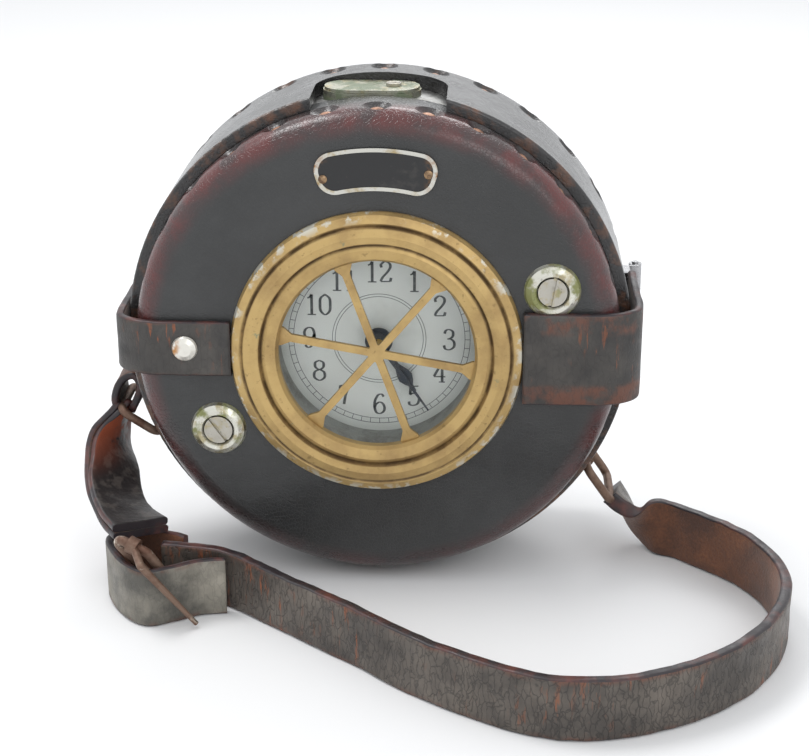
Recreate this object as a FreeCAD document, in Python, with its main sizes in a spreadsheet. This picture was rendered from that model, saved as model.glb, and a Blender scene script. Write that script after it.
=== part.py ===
import FreeCAD, Part
import math
import os
from FreeCAD import Placement, Rotation, Vector

# Driving sizes in millimetres, degrees and counts. Depths run back from the leather front face.
SIZES = {
    # Leather case
    "case_depth": 58.6,
    "band_radius": 73.0,
    "band_front": 12.0,
    "band_back": 50.0,
    "cup_radius": 69.7,
    "cup_leather": 2.8,
    "cup_round": 6.7,
    "front_flange": 19.4,
    "seam_gap": 0.3,
    "leather_fit": 0.1,
    "rivet_count": 30,
    "rivet_head": 2.3,
    "dimple_depth": 2.0,
    "dimple_radius": 5.4,
    "front_rivet_depth": 8.0,
    "rear_rivet_depth": 45.8,
    # Metal drum and lid
    "sheet_metal": 1.2,
    "drum_rear_radius": 69.0,
    "drum_rear_depth": 49.4,
    "lid_lap": 3.4,
    "window_hole": 32.0,
    # Key notch in the top of the band
    "notch_width": 38.0,
    "notch_back": 36.6,
    "notch_round": 7.0,
    "key_left": -8.8,
    "key_depth": 28.6,
    "key_bore": 3.0,
    "key_tube_wall": 0.9,
    "key_tube_foot": 52.0,
    "flap_radius": 7.4,
    "flap_span": 12.4,
    "flap_thickness": 0.8,
    "boss_top": 69.95,
    # Window
    "bezel_radius": 41.8,
    "window_radius": 27.9,
    "bezel_height": 4.6,
    "guard_thickness": 1.2,
    "spoke_width": 2.2,
    "spoke_count": 6,
    "spoke_turn": 20,
    "glass_thickness": 1.6,
    "glass_depth": 0.7,
    "dial_depth": 12.5,
    "dial_thickness": 0.6,
    "dial_radius": 31.0,
    "hand_angle": 145,
    # Name plate and studs on the front
    "plate_inner": 47.6,
    "plate_outer": 59.6,
    "plate_half_angle": 18.0,
    "plate_thickness": 0.7,
    "grommet_radius": 8.0,
    "grommet_height": 2.2,
    "screw_head": 4.1,
    "stud_radius": 3.7,
    "first_screw_x": 49.3,
    "first_screw_z": 19.2,
    "second_screw_x": -45.9,
    "second_screw_z": -23.8,
    # Cross straps
    "cross_leather": 2.5,
    "left_strap_low": -7.0,
    "left_strap_high": 9.2,
    "right_strap_low": -14.2,
    "right_strap_high": 13.0,
    "left_strap_back": 48.0,
    "right_strap_back": 40.0,
    # Hinge and lock of the lid
    "hinge_across": 76.2,
    "hinge_depth": 51.0,
    "hinge_barrel": 2.0,
    "hinge_pin": 1.0,
    "hinge_height": 24.0,
    "running_gap": 0.05,
    "lock_across": -55.0,
    "lock_radius": 5.0,
    "latch_length": 11.2,
    "latch_thickness": 1.4,
    "latch_depth": 43.4,
    # Clock movement
    "plate_radius": 56.0,
    "plate_metal": 1.5,
    "front_plate_depth": 19.0,
    "plate_gap": 7.4,
    "plate_top": 46.0,
    "pillar_radius": 2.2,
    "arbor_radius": 0.9,
    "centre_arbor": 1.3,
    "cannon_pipe": 2.0,
    "barrel_teeth": 60,
    "barrel_module": 0.72,
    "barrel_angle": 225,
    "barrel_height": 4.2,
    "centre_pinion_teeth": 10,
    "centre_teeth": 48,
    "centre_module": 0.66,
    "third_pinion_teeth": 6,
    "third_angle": 20,
    "third_teeth": 45,
    "third_module": 0.53,
    "fourth_pinion_teeth": 6,
    "fourth_angle": -60,
    "fourth_teeth": 48,
    "fourth_module": 0.35,
    "escape_pinion_teeth": 6,
    "escape_angle": -90,
    "escape_teeth": 15,
    "escape_radius": 4.4,
    "cannon_teeth": 12,
    "minute_wheel_teeth": 36,
    "minute_pinion_teeth": 10,
    "hour_wheel_teeth": 40,
    "motion_centres": 12.0,
    "balance_radius": 9.5,
    "balance_drop": 14.2,
    # Recorder
    "type_teeth": 36,
    "type_module": 0.85,
    "type_angle": 105,
    "type_radius": 8.0,
    "tape_width": 11.0,
    "tape_front": 32.6,
    "tape_thickness": 0.25,
    "spool_radius": 13.5,
    "spool_hub": 4.0,
    "supply_roll": 11.0,
    "takeup_roll": 8.0,
    "supply_x": -36.0,
    "supply_z": 12.0,
    "takeup_x": 34.0,
    "takeup_z": 20.0,
    # Shoulder strap and its fittings
    "strap_width": 17.5,
    "strap_leather": 3.4,
    "end_leather": 2.4,
    "ring_wire": 1.3,
    "ring_inside": 19.0,
    "ring_reach": 12.0,
    "ring_depth": 31.0,
    "left_ring_angle": 207,
    "right_ring_angle": -35,
}

doc = FreeCAD.newDocument("watchman_clock")
sheet = doc.addObject("Spreadsheet::Sheet", "Sizes")
for row, (alias, value) in enumerate(SIZES.items(), start=1):
    sheet.set("A%d" % row, alias)
    sheet.set("B%d" % row, str(value))
    sheet.setAlias("B%d" % row, alias)
doc.recompute()


# A size keeps its number and the sheet expression that gives it, so one sum serves both.
class Size:
    def __init__(self, value, text):
        self.value = float(value)
        self.text = text

    def join(self, other, sign, turned=False):
        other = as_size(other)
        first, second = (other, self) if turned else (self, other)
        sums = {
            "+": lambda a, b: a + b,
            "-": lambda a, b: a - b,
            "*": lambda a, b: a * b,
            "/": lambda a, b: a / b,
        }
        return Size(sums[sign](first.value, second.value), "(%s %s %s)" % (first.text, sign, second.text))

    def __add__(self, other):
        return self.join(other, "+")

    def __radd__(self, other):
        return self.join(other, "+", True)

    def __sub__(self, other):
        return self.join(other, "-")

    def __rsub__(self, other):
        return self.join(other, "-", True)

    def __mul__(self, other):
        return self.join(other, "*")

    def __rmul__(self, other):
        return self.join(other, "*", True)

    def __truediv__(self, other):
        return self.join(other, "/")

    def __neg__(self):
        return self.join(-1, "*")

    def __float__(self):
        return self.value

    def __lt__(self, other):
        return self.value < float(other)


def as_size(value):
    return value if isinstance(value, Size) else Size(value, repr(float(value)))


def cosine(angle):
    angle = as_size(angle)
    return Size(math.cos(math.radians(angle.value)), "cos(%s)" % angle.text)


def sine(angle):
    angle = as_size(angle)
    return Size(math.sin(math.radians(angle.value)), "sin(%s)" % angle.text)


S = {alias: Size(value, "Sizes." + alias) for alias, value in SIZES.items()}


# Places along the depth are counted from the leather front, while the origin is on the back face.
def deep(depth):
    return as_size(depth) - S["case_depth"]


def bind(obj, prop, size):
    obj.setExpression(prop, as_size(size).text)


nodes = {}


def keep(obj, label):
    obj.Label = label
    nodes[label] = obj
    return obj


def move(obj, x=0, y=0, z=0, rotation=None):
    x, y, z = as_size(x), as_size(y), as_size(z)
    obj.Placement = Placement(Vector(x.value, y.value, z.value), rotation or Rotation())
    bind(obj, "Placement.Base.x", x)
    bind(obj, "Placement.Base.y", y)
    bind(obj, "Placement.Base.z", z)
    return obj


# Turned and extruded solids with their profiles in dimensioned sketches
def new_sketch(body, role, name):
    plane = [item for item in body.Origin.OriginFeatures if item.Role == role][0]
    sketch = body.newObject("Sketcher::SketchObject", name)
    sketch.AttachmentSupport = [(plane, "")]
    sketch.MapMode = "FlatFace"
    return sketch


def draw_outline(sketch, points):
    import Sketcher
    points = [(as_size(a), as_size(b)) for a, b in points]
    count = len(points)
    corners = [Vector(a.value, b.value, 0) for a, b in points]
    sketch.addGeometry([Part.LineSegment(corners[i], corners[(i + 1) % count]) for i in range(count)])
    rules = [Sketcher.Constraint("Coincident", i, 2, (i + 1) % count, 1) for i in range(count)]
    sketch.addConstraint(rules)
    for i, (a, b) in enumerate(points):
        for kind, size in (("DistanceX", a), ("DistanceY", b)):
            index = sketch.addConstraint(Sketcher.Constraint(kind, -1, 1, i, 1, size.value))
            sketch.setExpression("Constraints[%d]" % index, size.text)


def turned(name, outline, x=0, z=0):
    body = doc.addObject("PartDesign::Body", name)
    sketch = new_sketch(body, "XY_Plane", name + "_outline")
    draw_outline(sketch, [(radius, deep(depth)) for radius, depth in outline])
    feature = body.newObject("PartDesign::Revolution", name + "_turned")
    feature.Profile = sketch
    feature.ReferenceAxis = (sketch, ["V_Axis"])
    feature.Angle = 360
    body.Tip = feature
    doc.recompute()
    return move(keep(body, name), x=x, z=z)


def ring_edges(shape, radius, depth):
    found = []
    height = float(deep(depth))
    for index, edge in enumerate(shape.Edges, start=1):
        curve = edge.Curve
        if not isinstance(curve, Part.Circle) or abs(curve.Radius - float(radius)) > 0.02:
            continue
        if abs(curve.Center.y - height) < 0.02 and abs(curve.Center.x) < 0.01:
            found.append("Edge%d" % index)
    return found


def round_ring(body, radius, depth, size):
    base = body.Tip
    names = ring_edges(base.Shape, radius, depth)
    fillet = body.newObject("PartDesign::Fillet", body.Name + "_round")
    fillet.Base = (base, names)
    fillet.Radius = float(size)
    bind(fillet, "Radius", size)
    body.Tip = fillet
    doc.recompute()
    return body


# Plain primitives, with their axis along the depth unless told otherwise
ALONG_DEPTH = Rotation(Vector(1, 0, 0), -90)
ALONG_WIDTH = Rotation(Vector(0, 1, 0), 90)


def rod(radius, start, end, x=0, z=0, name="rod"):
    obj = doc.addObject("Part::Cylinder", name)
    radius = as_size(radius)
    length = as_size(end) - start
    obj.Radius = radius.value
    obj.Height = length.value
    bind(obj, "Radius", radius)
    bind(obj, "Height", length)
    return move(obj, x, deep(start), z, ALONG_DEPTH)


def upright(radius, low, high, x=0, y=0, name="upright"):
    obj = doc.addObject("Part::Cylinder", name)
    radius = as_size(radius)
    length = as_size(high) - low
    obj.Radius = radius.value
    obj.Height = length.value
    bind(obj, "Radius", radius)
    bind(obj, "Height", length)
    return move(obj, x, y, low)


def block(x_span, depth_span, z_span, name="block"):
    obj = doc.addObject("Part::Box", name)
    spans = [(as_size(low), as_size(high)) for low, high in (x_span, depth_span, z_span)]
    for prop, (low, high) in zip(("Length", "Width", "Height"), spans):
        size = high - low
        setattr(obj, prop, size.value)
        bind(obj, prop, size)
    return move(obj, spans[0][0], deep(spans[1][0]), spans[2][0])


def fuse(*parts, name="fused"):
    obj = doc.addObject("Part::MultiFuse", name)
    obj.Shapes = list(parts)
    obj.Refine = True
    return obj


def cut(base, tool, name="cut"):
    obj = doc.addObject("Part::Cut", name)
    obj.Base = base
    obj.Tool = tool
    return obj


def common(base, tool, name="common"):
    obj = doc.addObject("Part::MultiCommon", name)
    obj.Shapes = [base, tool]
    return obj


def built(label, shape):
    obj = doc.addObject("Part::Feature", label)
    obj.Shape = shape
    return keep(obj, label)


def group(label, shapes):
    return built(label, Part.makeCompound(shapes))


# Shapes that are worked out from points
def flat_face(points):
    corners = [Vector(x, 0, z) for x, z in points]
    return Part.Face(Part.makePolygon(corners + [corners[0]]))


def raised(face, start, end):
    solid = face.extrude(Vector(0, float(end) - float(start), 0))
    solid.translate(Vector(0, float(deep(start)), 0))
    return solid


def disc(radius, start, end, x=0, z=0):
    base = Vector(float(x), float(deep(start)), float(z))
    return Part.makeCylinder(float(radius), float(end) - float(start), base, Vector(0, 1, 0))


def polar(radius, angle, x=0, z=0):
    turn = math.radians(float(angle))
    return float(x) + float(radius) * math.cos(turn), float(z) + float(radius) * math.sin(turn)


# Clock teeth: straight flanks, narrower than their spaces so that the wheels run freely
def toothed(teeth, module, start, end, tooth_at=0.0, x=0, z=0, width=0.42, tip=0.75, root=0.95):
    teeth = int(round(float(teeth)))
    module = float(module)
    pitch_radius = teeth * module / 2
    step = 2 * math.pi / teeth
    points = []
    for number in range(teeth):
        middle = math.radians(float(tooth_at)) + number * step
        for reach, share in ((-root, -0.5 * width - 0.04), (tip, -0.2 * width), (tip, 0.2 * width),
                             (-root, 0.5 * width + 0.04)):
            radius = pitch_radius + reach * module
            points.append(polar(radius, math.degrees(middle + share * step), x, z))
    return raised(flat_face(points), start, end)


# Spokes leave openings between a hub and a rim, as in a crossed-out clock wheel
def cross_out(solid, hub, rim, start, end, arms, arm_width, x=0, z=0):
    ring = disc(rim, float(start) - 1, float(end) + 1, x, z).cut(disc(hub, float(start) - 1, float(end) + 1, x, z))
    for arm in range(arms):
        bar = Part.makeBox(2 * rim, float(end) - float(start) + 2, arm_width, Vector(0, 0, -arm_width / 2))
        bar.rotate(Vector(0, 0, 0), Vector(0, 1, 0), -360.0 * arm / arms - 17)
        bar.translate(Vector(float(x), float(deep(start)) - 1, float(z)))
        ring = ring.cut(bar)
    return solid.cut(ring)


# Leather case
band_inner = S["drum_rear_radius"] + S["leather_fit"]
flange_over = S["cup_radius"] + S["leather_fit"]
cup_inside = S["cup_radius"] - S["cup_leather"]
drum_front_radius = cup_inside - S["leather_fit"]
drum_front = S["cup_leather"]
lip = S["front_flange"] + S["seam_gap"]


def add_dimples(body, depth, radius):
    name = body.Name
    ball = body.newObject("PartDesign::SubtractiveSphere", name + "_dimple")
    size = S["dimple_radius"]
    ball.Radius = size.value
    bind(ball, "Radius", size)
    middle = radius - S["dimple_depth"] + size
    ball.Placement = Placement(Vector(0, float(deep(depth)), middle.value), Rotation())
    bind(ball, "Placement.Base.y", deep(depth))
    bind(ball, "Placement.Base.z", middle)
    doc.recompute()
    pattern = body.newObject("PartDesign::PolarPattern", name + "_dimples")
    pattern.Originals = [ball]
    axis = [item for item in body.Origin.OriginFeatures if item.Role == "Y_Axis"][0]
    pattern.Axis = (axis, [""])
    pattern.Angle = 360
    pattern.Occurrences = int(S["rivet_count"].value)
    bind(pattern, "Occurrences", S["rivet_count"])
    body.Tip = pattern
    doc.recompute()


front_cup = turned("front_leather_cup", [
    (S["window_hole"], 0),
    (S["cup_radius"], 0),
    (S["cup_radius"], S["front_flange"]),
    (cup_inside, S["front_flange"]),
    (cup_inside, S["cup_leather"]),
    (S["window_hole"], S["cup_leather"]),
])
round_ring(front_cup, S["cup_radius"], 0, S["cup_round"])
round_ring(front_cup, cup_inside, S["cup_leather"], S["cup_round"] - S["cup_leather"])
add_dimples(front_cup, S["front_rivet_depth"], S["cup_radius"])

band_ring = turned("side_band_ring", [
    (flange_over, S["band_front"]),
    (S["band_radius"], S["band_front"]),
    (S["band_radius"], S["band_back"]),
    (band_inner, S["band_back"]),
    (band_inner, lip),
    (flange_over, lip),
])
round_ring(band_ring, S["band_radius"], S["band_front"], 0.8)
round_ring(band_ring, S["band_radius"], S["band_back"], 0.8)
add_dimples(band_ring, S["rear_rivet_depth"], S["band_radius"])
del nodes["side_band_ring"]

half_notch = S["notch_width"] / 2
notch_box = block((-half_notch, half_notch), (S["band_front"] - 5, S["notch_back"]), (60, 80), "notch_box")
doc.recompute()
notch_corners = [
    "Edge%d" % index for index, edge in enumerate(notch_box.Shape.Edges, start=1)
    if abs(edge.tangentAt(edge.FirstParameter).z) > 0.99
    and edge.CenterOfMass.y > float(deep(S["notch_back"])) - 0.1
]
notch = doc.addObject("Part::Fillet", "notch")
notch.Base = notch_box
notch.Edges = [(int(name[4:]), S["notch_round"].value, S["notch_round"].value) for name in notch_corners]
keep(cut(band_ring, notch, "side_band"), "side_band")


# Copper rivet heads: shallow caps at the bottom of the dimples
def rivets(radius, depth):
    made = []
    count = int(S["rivet_count"].value)
    rise = 0.8
    head = float(S["rivet_head"])
    ball = (head * head + rise * rise) / (2 * rise)
    dimple_sag = float(S["dimple_radius"]) - math.sqrt(float(S["dimple_radius"]) ** 2 - head * head)
    seat = float(radius) - float(S["dimple_depth"]) + dimple_sag + 0.03
    for number in range(count):
        angle = 360.0 * number / count
        dome = Part.makeSphere(ball, Vector(0, 0, seat + rise - ball))
        dome = dome.common(Part.makeCylinder(ball, ball, Vector(0, 0, seat)))
        dome.rotate(Vector(0, 0, 0), Vector(0, 1, 0), angle)
        dome.translate(Vector(0, float(deep(depth)), 0))
        made.append(dome)
    return made


case_rivets = rivets(S["cup_radius"], S["front_rivet_depth"])
case_rivets += rivets(S["band_radius"], S["rear_rivet_depth"])

# The metal drum is one spun can: a narrower front inside the leather cup, then a step out to the rear rim
wall = S["sheet_metal"]
rear_inside = S["drum_rear_radius"] - wall
drum = turned("drum_can", [
    (S["window_hole"], drum_front),
    (drum_front_radius, drum_front),
    (drum_front_radius, lip),
    (S["drum_rear_radius"], lip),
    (S["drum_rear_radius"], S["drum_rear_depth"]),
    (rear_inside, S["drum_rear_depth"]),
    (rear_inside, lip + wall),
    (drum_front_radius - wall, lip + wall),
    (drum_front_radius - wall, drum_front + wall),
    (S["window_hole"], drum_front + wall),
])
round_ring(drum, drum_front_radius, drum_front, S["cup_round"] - S["cup_leather"] + S["leather_fit"])
del nodes["drum_can"]

key_tube_radius = S["key_bore"] + S["key_tube_wall"]
tube_hole = upright(key_tube_radius + S["running_gap"], 60, 75, S["key_left"], deep(S["key_depth"]), "tube_hole")
screw_shank = S["screw_head"] * 0.5
holes = [tube_hole]
screw_places = [
    (S["first_screw_x"], S["first_screw_z"]),
    (S["second_screw_x"], S["second_screw_z"]),
]
for x, z in screw_places:
    holes.append(rod(screw_shank + S["running_gap"], -1, S["front_plate_depth"], x, z, "screw_hole"))
keep(cut(drum, fuse(*holes, name="drum_holes"), "case_drum"), "case_drum")

leather_holes = []
for x, z in screw_places:
    leather_holes.append(rod(S["screw_head"] + 0.3, -1, S["cup_leather"] + 0.5, x, z, "leather_hole"))
stud_x = -54.5
stud_z = 1.4
leather_holes.append(rod(1.3, -1, S["cup_leather"] + 0.5, stud_x, stud_z, "stud_hole"))
plate_nails = [(-14.6, 50.7), (14.5, 52.3)]
for x, z in plate_nails:
    leather_holes.append(rod(0.85, -1, S["cup_leather"] + 0.5, x, z, "nail_hole"))
del nodes["front_leather_cup"]
front_cup.Label = "front_cup_body"
keep(cut(front_cup, fuse(*leather_holes, name="front_holes"), "front_leather_cup"), "front_leather_cup")

# Window: bezel ring, spoked guard, glass and the ring that runs back to the dial
bezel_seat = drum_front + wall
turned("bezel", [
    (S["window_radius"], -1.9),
    (S["window_radius"] + 0.8, -3.1),
    (S["window_radius"] + 3.6, -3.7),
    (S["bezel_radius"] * 0.786, -3.1),
    (S["bezel_radius"] * 0.800, -4.2),
    (S["bezel_radius"] * 0.850, -S["bezel_height"]),
    (S["bezel_radius"] * 0.905, -4.0),
    (S["bezel_radius"] * 0.916, -3.0),
    (S["bezel_radius"] * 0.935, -3.3),
    (S["bezel_radius"] * 0.985, -2.2),
    (S["bezel_radius"], -0.9),
    (S["bezel_radius"], -S["leather_fit"] * 0.2),
    (S["window_hole"] - 0.1, -S["leather_fit"] * 0.2),
    (S["window_hole"] - 0.1, bezel_seat),
    (S["window_hole"] - 1.0, bezel_seat),
    (S["window_hole"] - 1.0, -0.7),
    (S["window_radius"], -0.7),
])


def spoked_guard():
    outer = float(S["window_hole"]) - 1.1
    start = -0.65
    end = start + float(S["guard_thickness"])
    ring = disc(outer, start, end).cut(disc(float(S["window_radius"]), start, end))
    half = float(S["spoke_width"]) / 2
    flare = 1.6
    reach = float(S["window_radius"])
    arm = [
        (0, -half), (reach - 2 * flare, -half), (reach - 0.6, -half - flare), (reach + 0.8, -half - flare),
        (reach + 0.8, half + flare), (reach - 0.6, half + flare), (reach - 2 * flare, half), (0, half),
    ]
    count = int(S["spoke_count"].value)
    for number in range(count):
        spoke = raised(flat_face(arm), start, end)
        angle = float(S["spoke_turn"]) + 90 + 360.0 * number / count
        spoke.rotate(Vector(0, 0, 0), Vector(0, 1, 0), -angle)
        ring = ring.fuse(spoke)
    return ring.fuse(disc(2.6, start, end)).removeSplitter()


built("window_guard", spoked_guard())
guard_back = -0.65 + S["guard_thickness"]
glass_front = guard_back + 0.05
glass_back = glass_front + S["glass_thickness"]
turned("glass", [
    (0, glass_front),
    (S["window_hole"] - 1.1, glass_front),
    (S["window_hole"] - 1.1, glass_back),
    (0, glass_back),
])
turned("dial_ring", [
    (S["window_hole"] - 1.1, glass_back + 0.05),
    (S["window_hole"] - 1.1, drum_front + wall + 0.6),
    (S["window_hole"] + 3.0, drum_front + wall + 0.6),
    (S["window_hole"] + 3.0, drum_front + wall + 1.6),
    (S["dial_radius"] - 0.6, drum_front + wall + 1.6),
    (S["dial_radius"] - 1.2, S["dial_depth"] - 0.05),
    (S["dial_radius"] - 2.2, S["dial_depth"] - 0.05),
    (S["window_hole"] - 2.1, glass_back + 0.05),
])
dial_disc = turned("dial_disc", [
    (S["cannon_pipe"] + 0.9, S["dial_depth"]),
    (S["dial_radius"], S["dial_depth"]),
    (S["dial_radius"], S["dial_depth"] + S["dial_thickness"]),
    (S["cannon_pipe"] + 0.9, S["dial_depth"] + S["dial_thickness"]),
])
del nodes["dial_disc"]
dial_feet = [
    rod(1.0, S["dial_depth"] + 0.1, S["front_plate_depth"], *polar(26, angle), name="dial_foot")
    for angle in (40, 150, 275)
]
keep(fuse(dial_disc, *dial_feet, name="dial"), "dial")

# Front fittings: name plate with its nails, two grommets with slotted screws, and the strap stud


def arched_plate(inner, outer, half_angle, corner, start, end):
    inner, outer, half_angle = float(inner), float(outer), float(half_angle)
    low, high = 90 - half_angle, 90 + half_angle
    places = {
        "a": polar(inner, low), "b": polar(outer, low), "c": polar(outer, high), "d": polar(inner, high),
        "top": polar(outer, 90), "foot": polar(inner, 90),
    }
    point = {key: Vector(x, 0, z) for key, (x, z) in places.items()}
    edges = [
        Part.LineSegment(point["a"], point["b"]).toShape(),
        Part.Arc(point["b"], point["top"], point["c"]).toShape(),
        Part.LineSegment(point["c"], point["d"]).toShape(),
        Part.Arc(point["d"], point["foot"], point["a"]).toShape(),
    ]
    solid = raised(Part.Face(Part.Wire(edges)), start, end)
    upright_edges = [edge for edge in solid.Edges if abs(edge.tangentAt(edge.FirstParameter).y) > 0.99]
    return solid.makeFillet(float(corner), upright_edges)


plate_start = -S["plate_thickness"]
name_plate = arched_plate(S["plate_inner"], S["plate_outer"], S["plate_half_angle"], 5.2, plate_start, 0)
panel = arched_plate(S["plate_inner"] + 1.1, S["plate_outer"] - 1.1, S["plate_half_angle"] - 1.25, 4.1,
                     plate_start - 0.1, plate_start + 0.25)
name_plate = name_plate.cut(panel)
nails = []
for x, z in plate_nails:
    name_plate = name_plate.cut(disc(0.85, -2, 1, x, z))
    dome = Part.makeSphere(1.9, Vector(x, float(deep(0.75)), z))
    dome = dome.common(disc(1.9, -3, plate_start - 0.0, x, z))
    nails.append(dome.fuse(disc(0.8, plate_start - 0.1, S["cup_leather"], x, z)).removeSplitter())
built("name_plate", name_plate)

grommets = []
screws = []
for number, (x, z) in enumerate(screw_places):
    grommet = turned("grommet_%d" % number, [
        (S["screw_head"] + 0.25, S["cup_leather"] * 0.9),
        (S["screw_head"] + 0.25, -1.3),
        (S["screw_head"] + 0.7, -S["grommet_height"]),
        (S["grommet_radius"] * 0.74, -S["grommet_height"] - 0.1),
        (S["grommet_radius"] * 0.93, -1.2),
        (S["grommet_radius"], -0.02),
        (S["screw_head"] + 0.29, -0.02),
        (S["screw_head"] + 0.29, S["cup_leather"] * 0.9),
    ], x, z)
    del nodes["grommet_%d" % number]
    grommets.append(grommet)
doc.recompute()
grommet_shapes = [item.Shape.copy() for item in grommets]
group("screw_grommets", grommet_shapes)
for (x, z), slot_turn in zip(screw_places, (80, 125)):
    head = disc(S["screw_head"], -1.7, 0.2, x, z)
    shank = disc(screw_shank, 0.2, S["front_plate_depth"] - 6, x, z)
    slot = Part.makeBox(10, 0.9, 1.0, Vector(-5, 0, -0.5))
    slot.rotate(Vector(0, 0, 0), Vector(0, 1, 0), -slot_turn)
    slot.translate(Vector(float(x), float(deep(-1.8)), float(z)))
    screws.append(head.fuse(shank).cut(slot).removeSplitter())

strap_front = -S["cross_leather"] - 0.15
strap_stud = turned("strap_stud", [
    (0, strap_front - 1.7),
    (S["stud_radius"] * 0.55, strap_front - 1.4),
    (S["stud_radius"] * 0.9, strap_front - 0.7),
    (S["stud_radius"], strap_front - 0.05),
    (1.2, strap_front - 0.05),
    (1.2, S["cup_leather"]),
    (0, S["cup_leather"]),
], stud_x, stud_z)
del nodes["strap_stud"]
doc.recompute()
group("front_studs", nails + [strap_stud.Shape.copy()])

# Cross straps: one path from the bezel over the rim and along the side, cut to fit the case
leather = S["cross_leather"]
side_face = S["band_radius"] + 0.15


def cross_strap(label, side, low, high, back, start, hole):
    low, high, back = float(low), float(high), float(back)
    thick = float(leather)
    near = float(start)
    turn_outer = 10.0
    wide = float(side_face) + thick
    front = float(strap_front)
    points = {
        "inner_start": (near, front + thick), "outer_start": (near, front),
        "outer_turn": (wide - turn_outer, front), "outer_side": (wide, front + turn_outer),
        "outer_back": (wide, back), "inner_back": (60, back), "inner_corner": (60, front + thick),
    }
    place = {key: Vector(side * x, float(deep(y)), low) for key, (x, y) in points.items()}
    middle_x = wide - turn_outer + turn_outer * math.sin(math.radians(45))
    middle_y = front + turn_outer - turn_outer * math.cos(math.radians(45))
    middle = Vector(side * middle_x, float(deep(middle_y)), low)
    edges = [
        Part.LineSegment(place["inner_start"], place["outer_start"]).toShape(),
        Part.LineSegment(place["outer_start"], place["outer_turn"]).toShape(),
        Part.Arc(place["outer_turn"], middle, place["outer_side"]).toShape(),
        Part.LineSegment(place["outer_side"], place["outer_back"]).toShape(),
        Part.LineSegment(place["outer_back"], place["inner_back"]).toShape(),
        Part.LineSegment(place["inner_back"], place["inner_corner"]).toShape(),
        Part.LineSegment(place["inner_corner"], place["inner_start"]).toShape(),
    ]
    solid = Part.Face(Part.Wire(edges)).extrude(Vector(0, 0, high - low))
    case = disc(float(S["cup_radius"]) + 0.15, -0.15, 14)
    rim = [edge for edge in case.Edges if isinstance(edge.Curve, Part.Circle)
           and abs(edge.Curve.Center.y - float(deep(-0.15))) < 0.01]
    case = case.makeFillet(float(S["cup_round"]), rim)
    case = case.fuse(disc(side_face, float(S["band_front"]) - 0.15, 60))
    solid = solid.cut(case).cut(disc(float(S["bezel_radius"]) + 0.1, -10, 3))
    if hole:
        solid = solid.cut(disc(1.25, -10, 5, stud_x, stud_z))
    for x, z in screw_places:
        solid = solid.cut(disc(float(S["grommet_radius"]) + 0.1, -10, 5, x, z))
    return built(label, solid)


cross_strap("left_cross_strap", -1, S["left_strap_low"], S["left_strap_high"], S["left_strap_back"], 38, True)
cross_strap("right_cross_strap", 1, S["right_strap_low"], S["right_strap_high"], S["right_strap_back"], 38, False)

# Key way in the top: seated boss, guide tube and a flap that swings aside on its screw
flap_y = deep(S["key_depth"])
flap_pivot_x = S["key_left"] + S["flap_span"]


def stadium(left, right, radius, low, high):
    left, right, radius = float(left), float(right), float(radius)
    height = float(high) - float(low)
    ends = [Part.makeCylinder(radius, height, Vector(x, float(flap_y), float(low))) for x in (left, right)]
    middle = Part.makeBox(right - left, 2 * radius, height, Vector(left, float(flap_y) - radius, float(low)))
    return ends[0].fuse(middle).fuse(ends[1]).removeSplitter()


boss = stadium(S["key_left"], flap_pivot_x, float(S["flap_radius"]) + 0.4, 62, S["boss_top"])
boss = boss.cut(disc(float(S["drum_rear_radius"]) + 0.02, 0, 60))
tube_bore = Part.makeCylinder(float(key_tube_radius) + 0.05, 30, Vector(float(S["key_left"]), float(flap_y), 50))
pivot_bore = Part.makeCylinder(0.85, 30, Vector(float(flap_pivot_x), float(flap_y), 50))
boss = boss.cut(tube_bore).cut(pivot_bore)
tube_top = S["boss_top"] - 0.02
tube_height = float(tube_top) - float(S["key_tube_foot"])
tube_base = Vector(float(S["key_left"]), float(flap_y), float(S["key_tube_foot"]))
tube = Part.makeCylinder(float(key_tube_radius), tube_height, tube_base)
tube = tube.cut(Part.makeCylinder(float(S["key_bore"]), tube_height, tube_base))
group("keyhole_boss", [boss, tube])
flap_low = float(S["boss_top"]) + 0.06
flap_high = flap_low + float(S["flap_thickness"])
flap = stadium(S["key_left"], flap_pivot_x, S["flap_radius"], flap_low, flap_high)
built("keyhole_flap", flap.cut(Part.makeCylinder(0.95, 30, Vector(float(flap_pivot_x), float(flap_y), 50))))
flap_screw = Part.makeCylinder(2.2, 0.8, Vector(float(flap_pivot_x), float(flap_y), flap_high + 0.05))
flap_shank = Part.makeCylinder(0.8, 6, Vector(float(flap_pivot_x), float(flap_y), flap_high + 0.05 - 6))
flap_slot = Part.makeBox(5, 0.6, 0.5, Vector(float(flap_pivot_x) - 2.5, float(flap_y) - 0.3, flap_high + 0.45))
screws.append(flap_screw.fuse(flap_shank).cut(flap_slot).removeSplitter())
group("case_screws", screws)
drum_final = nodes["case_drum"]
pivot_hole = upright(0.85, 60, 75, flap_pivot_x, flap_y, "pivot_hole")
del nodes["case_drum"]
drum_final.Label = "drum_with_holes"
drum_open = cut(drum_final, pivot_hole, "drum_open")
strike_front = S["latch_depth"] + 0.3
strike_block = block((-rear_inside - 0.6, -rear_inside + 6.4), (strike_front, strike_front + 1.3), (-6, 6), "strike_block")
strike_limit = rod(rear_inside + 0.4, 40, 50, 0, 0, "strike_limit")
lock_strike = common(strike_block, strike_limit, "lock_strike")
keep(fuse(drum_open, lock_strike, name="case_drum_final"), "case_drum")

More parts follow.
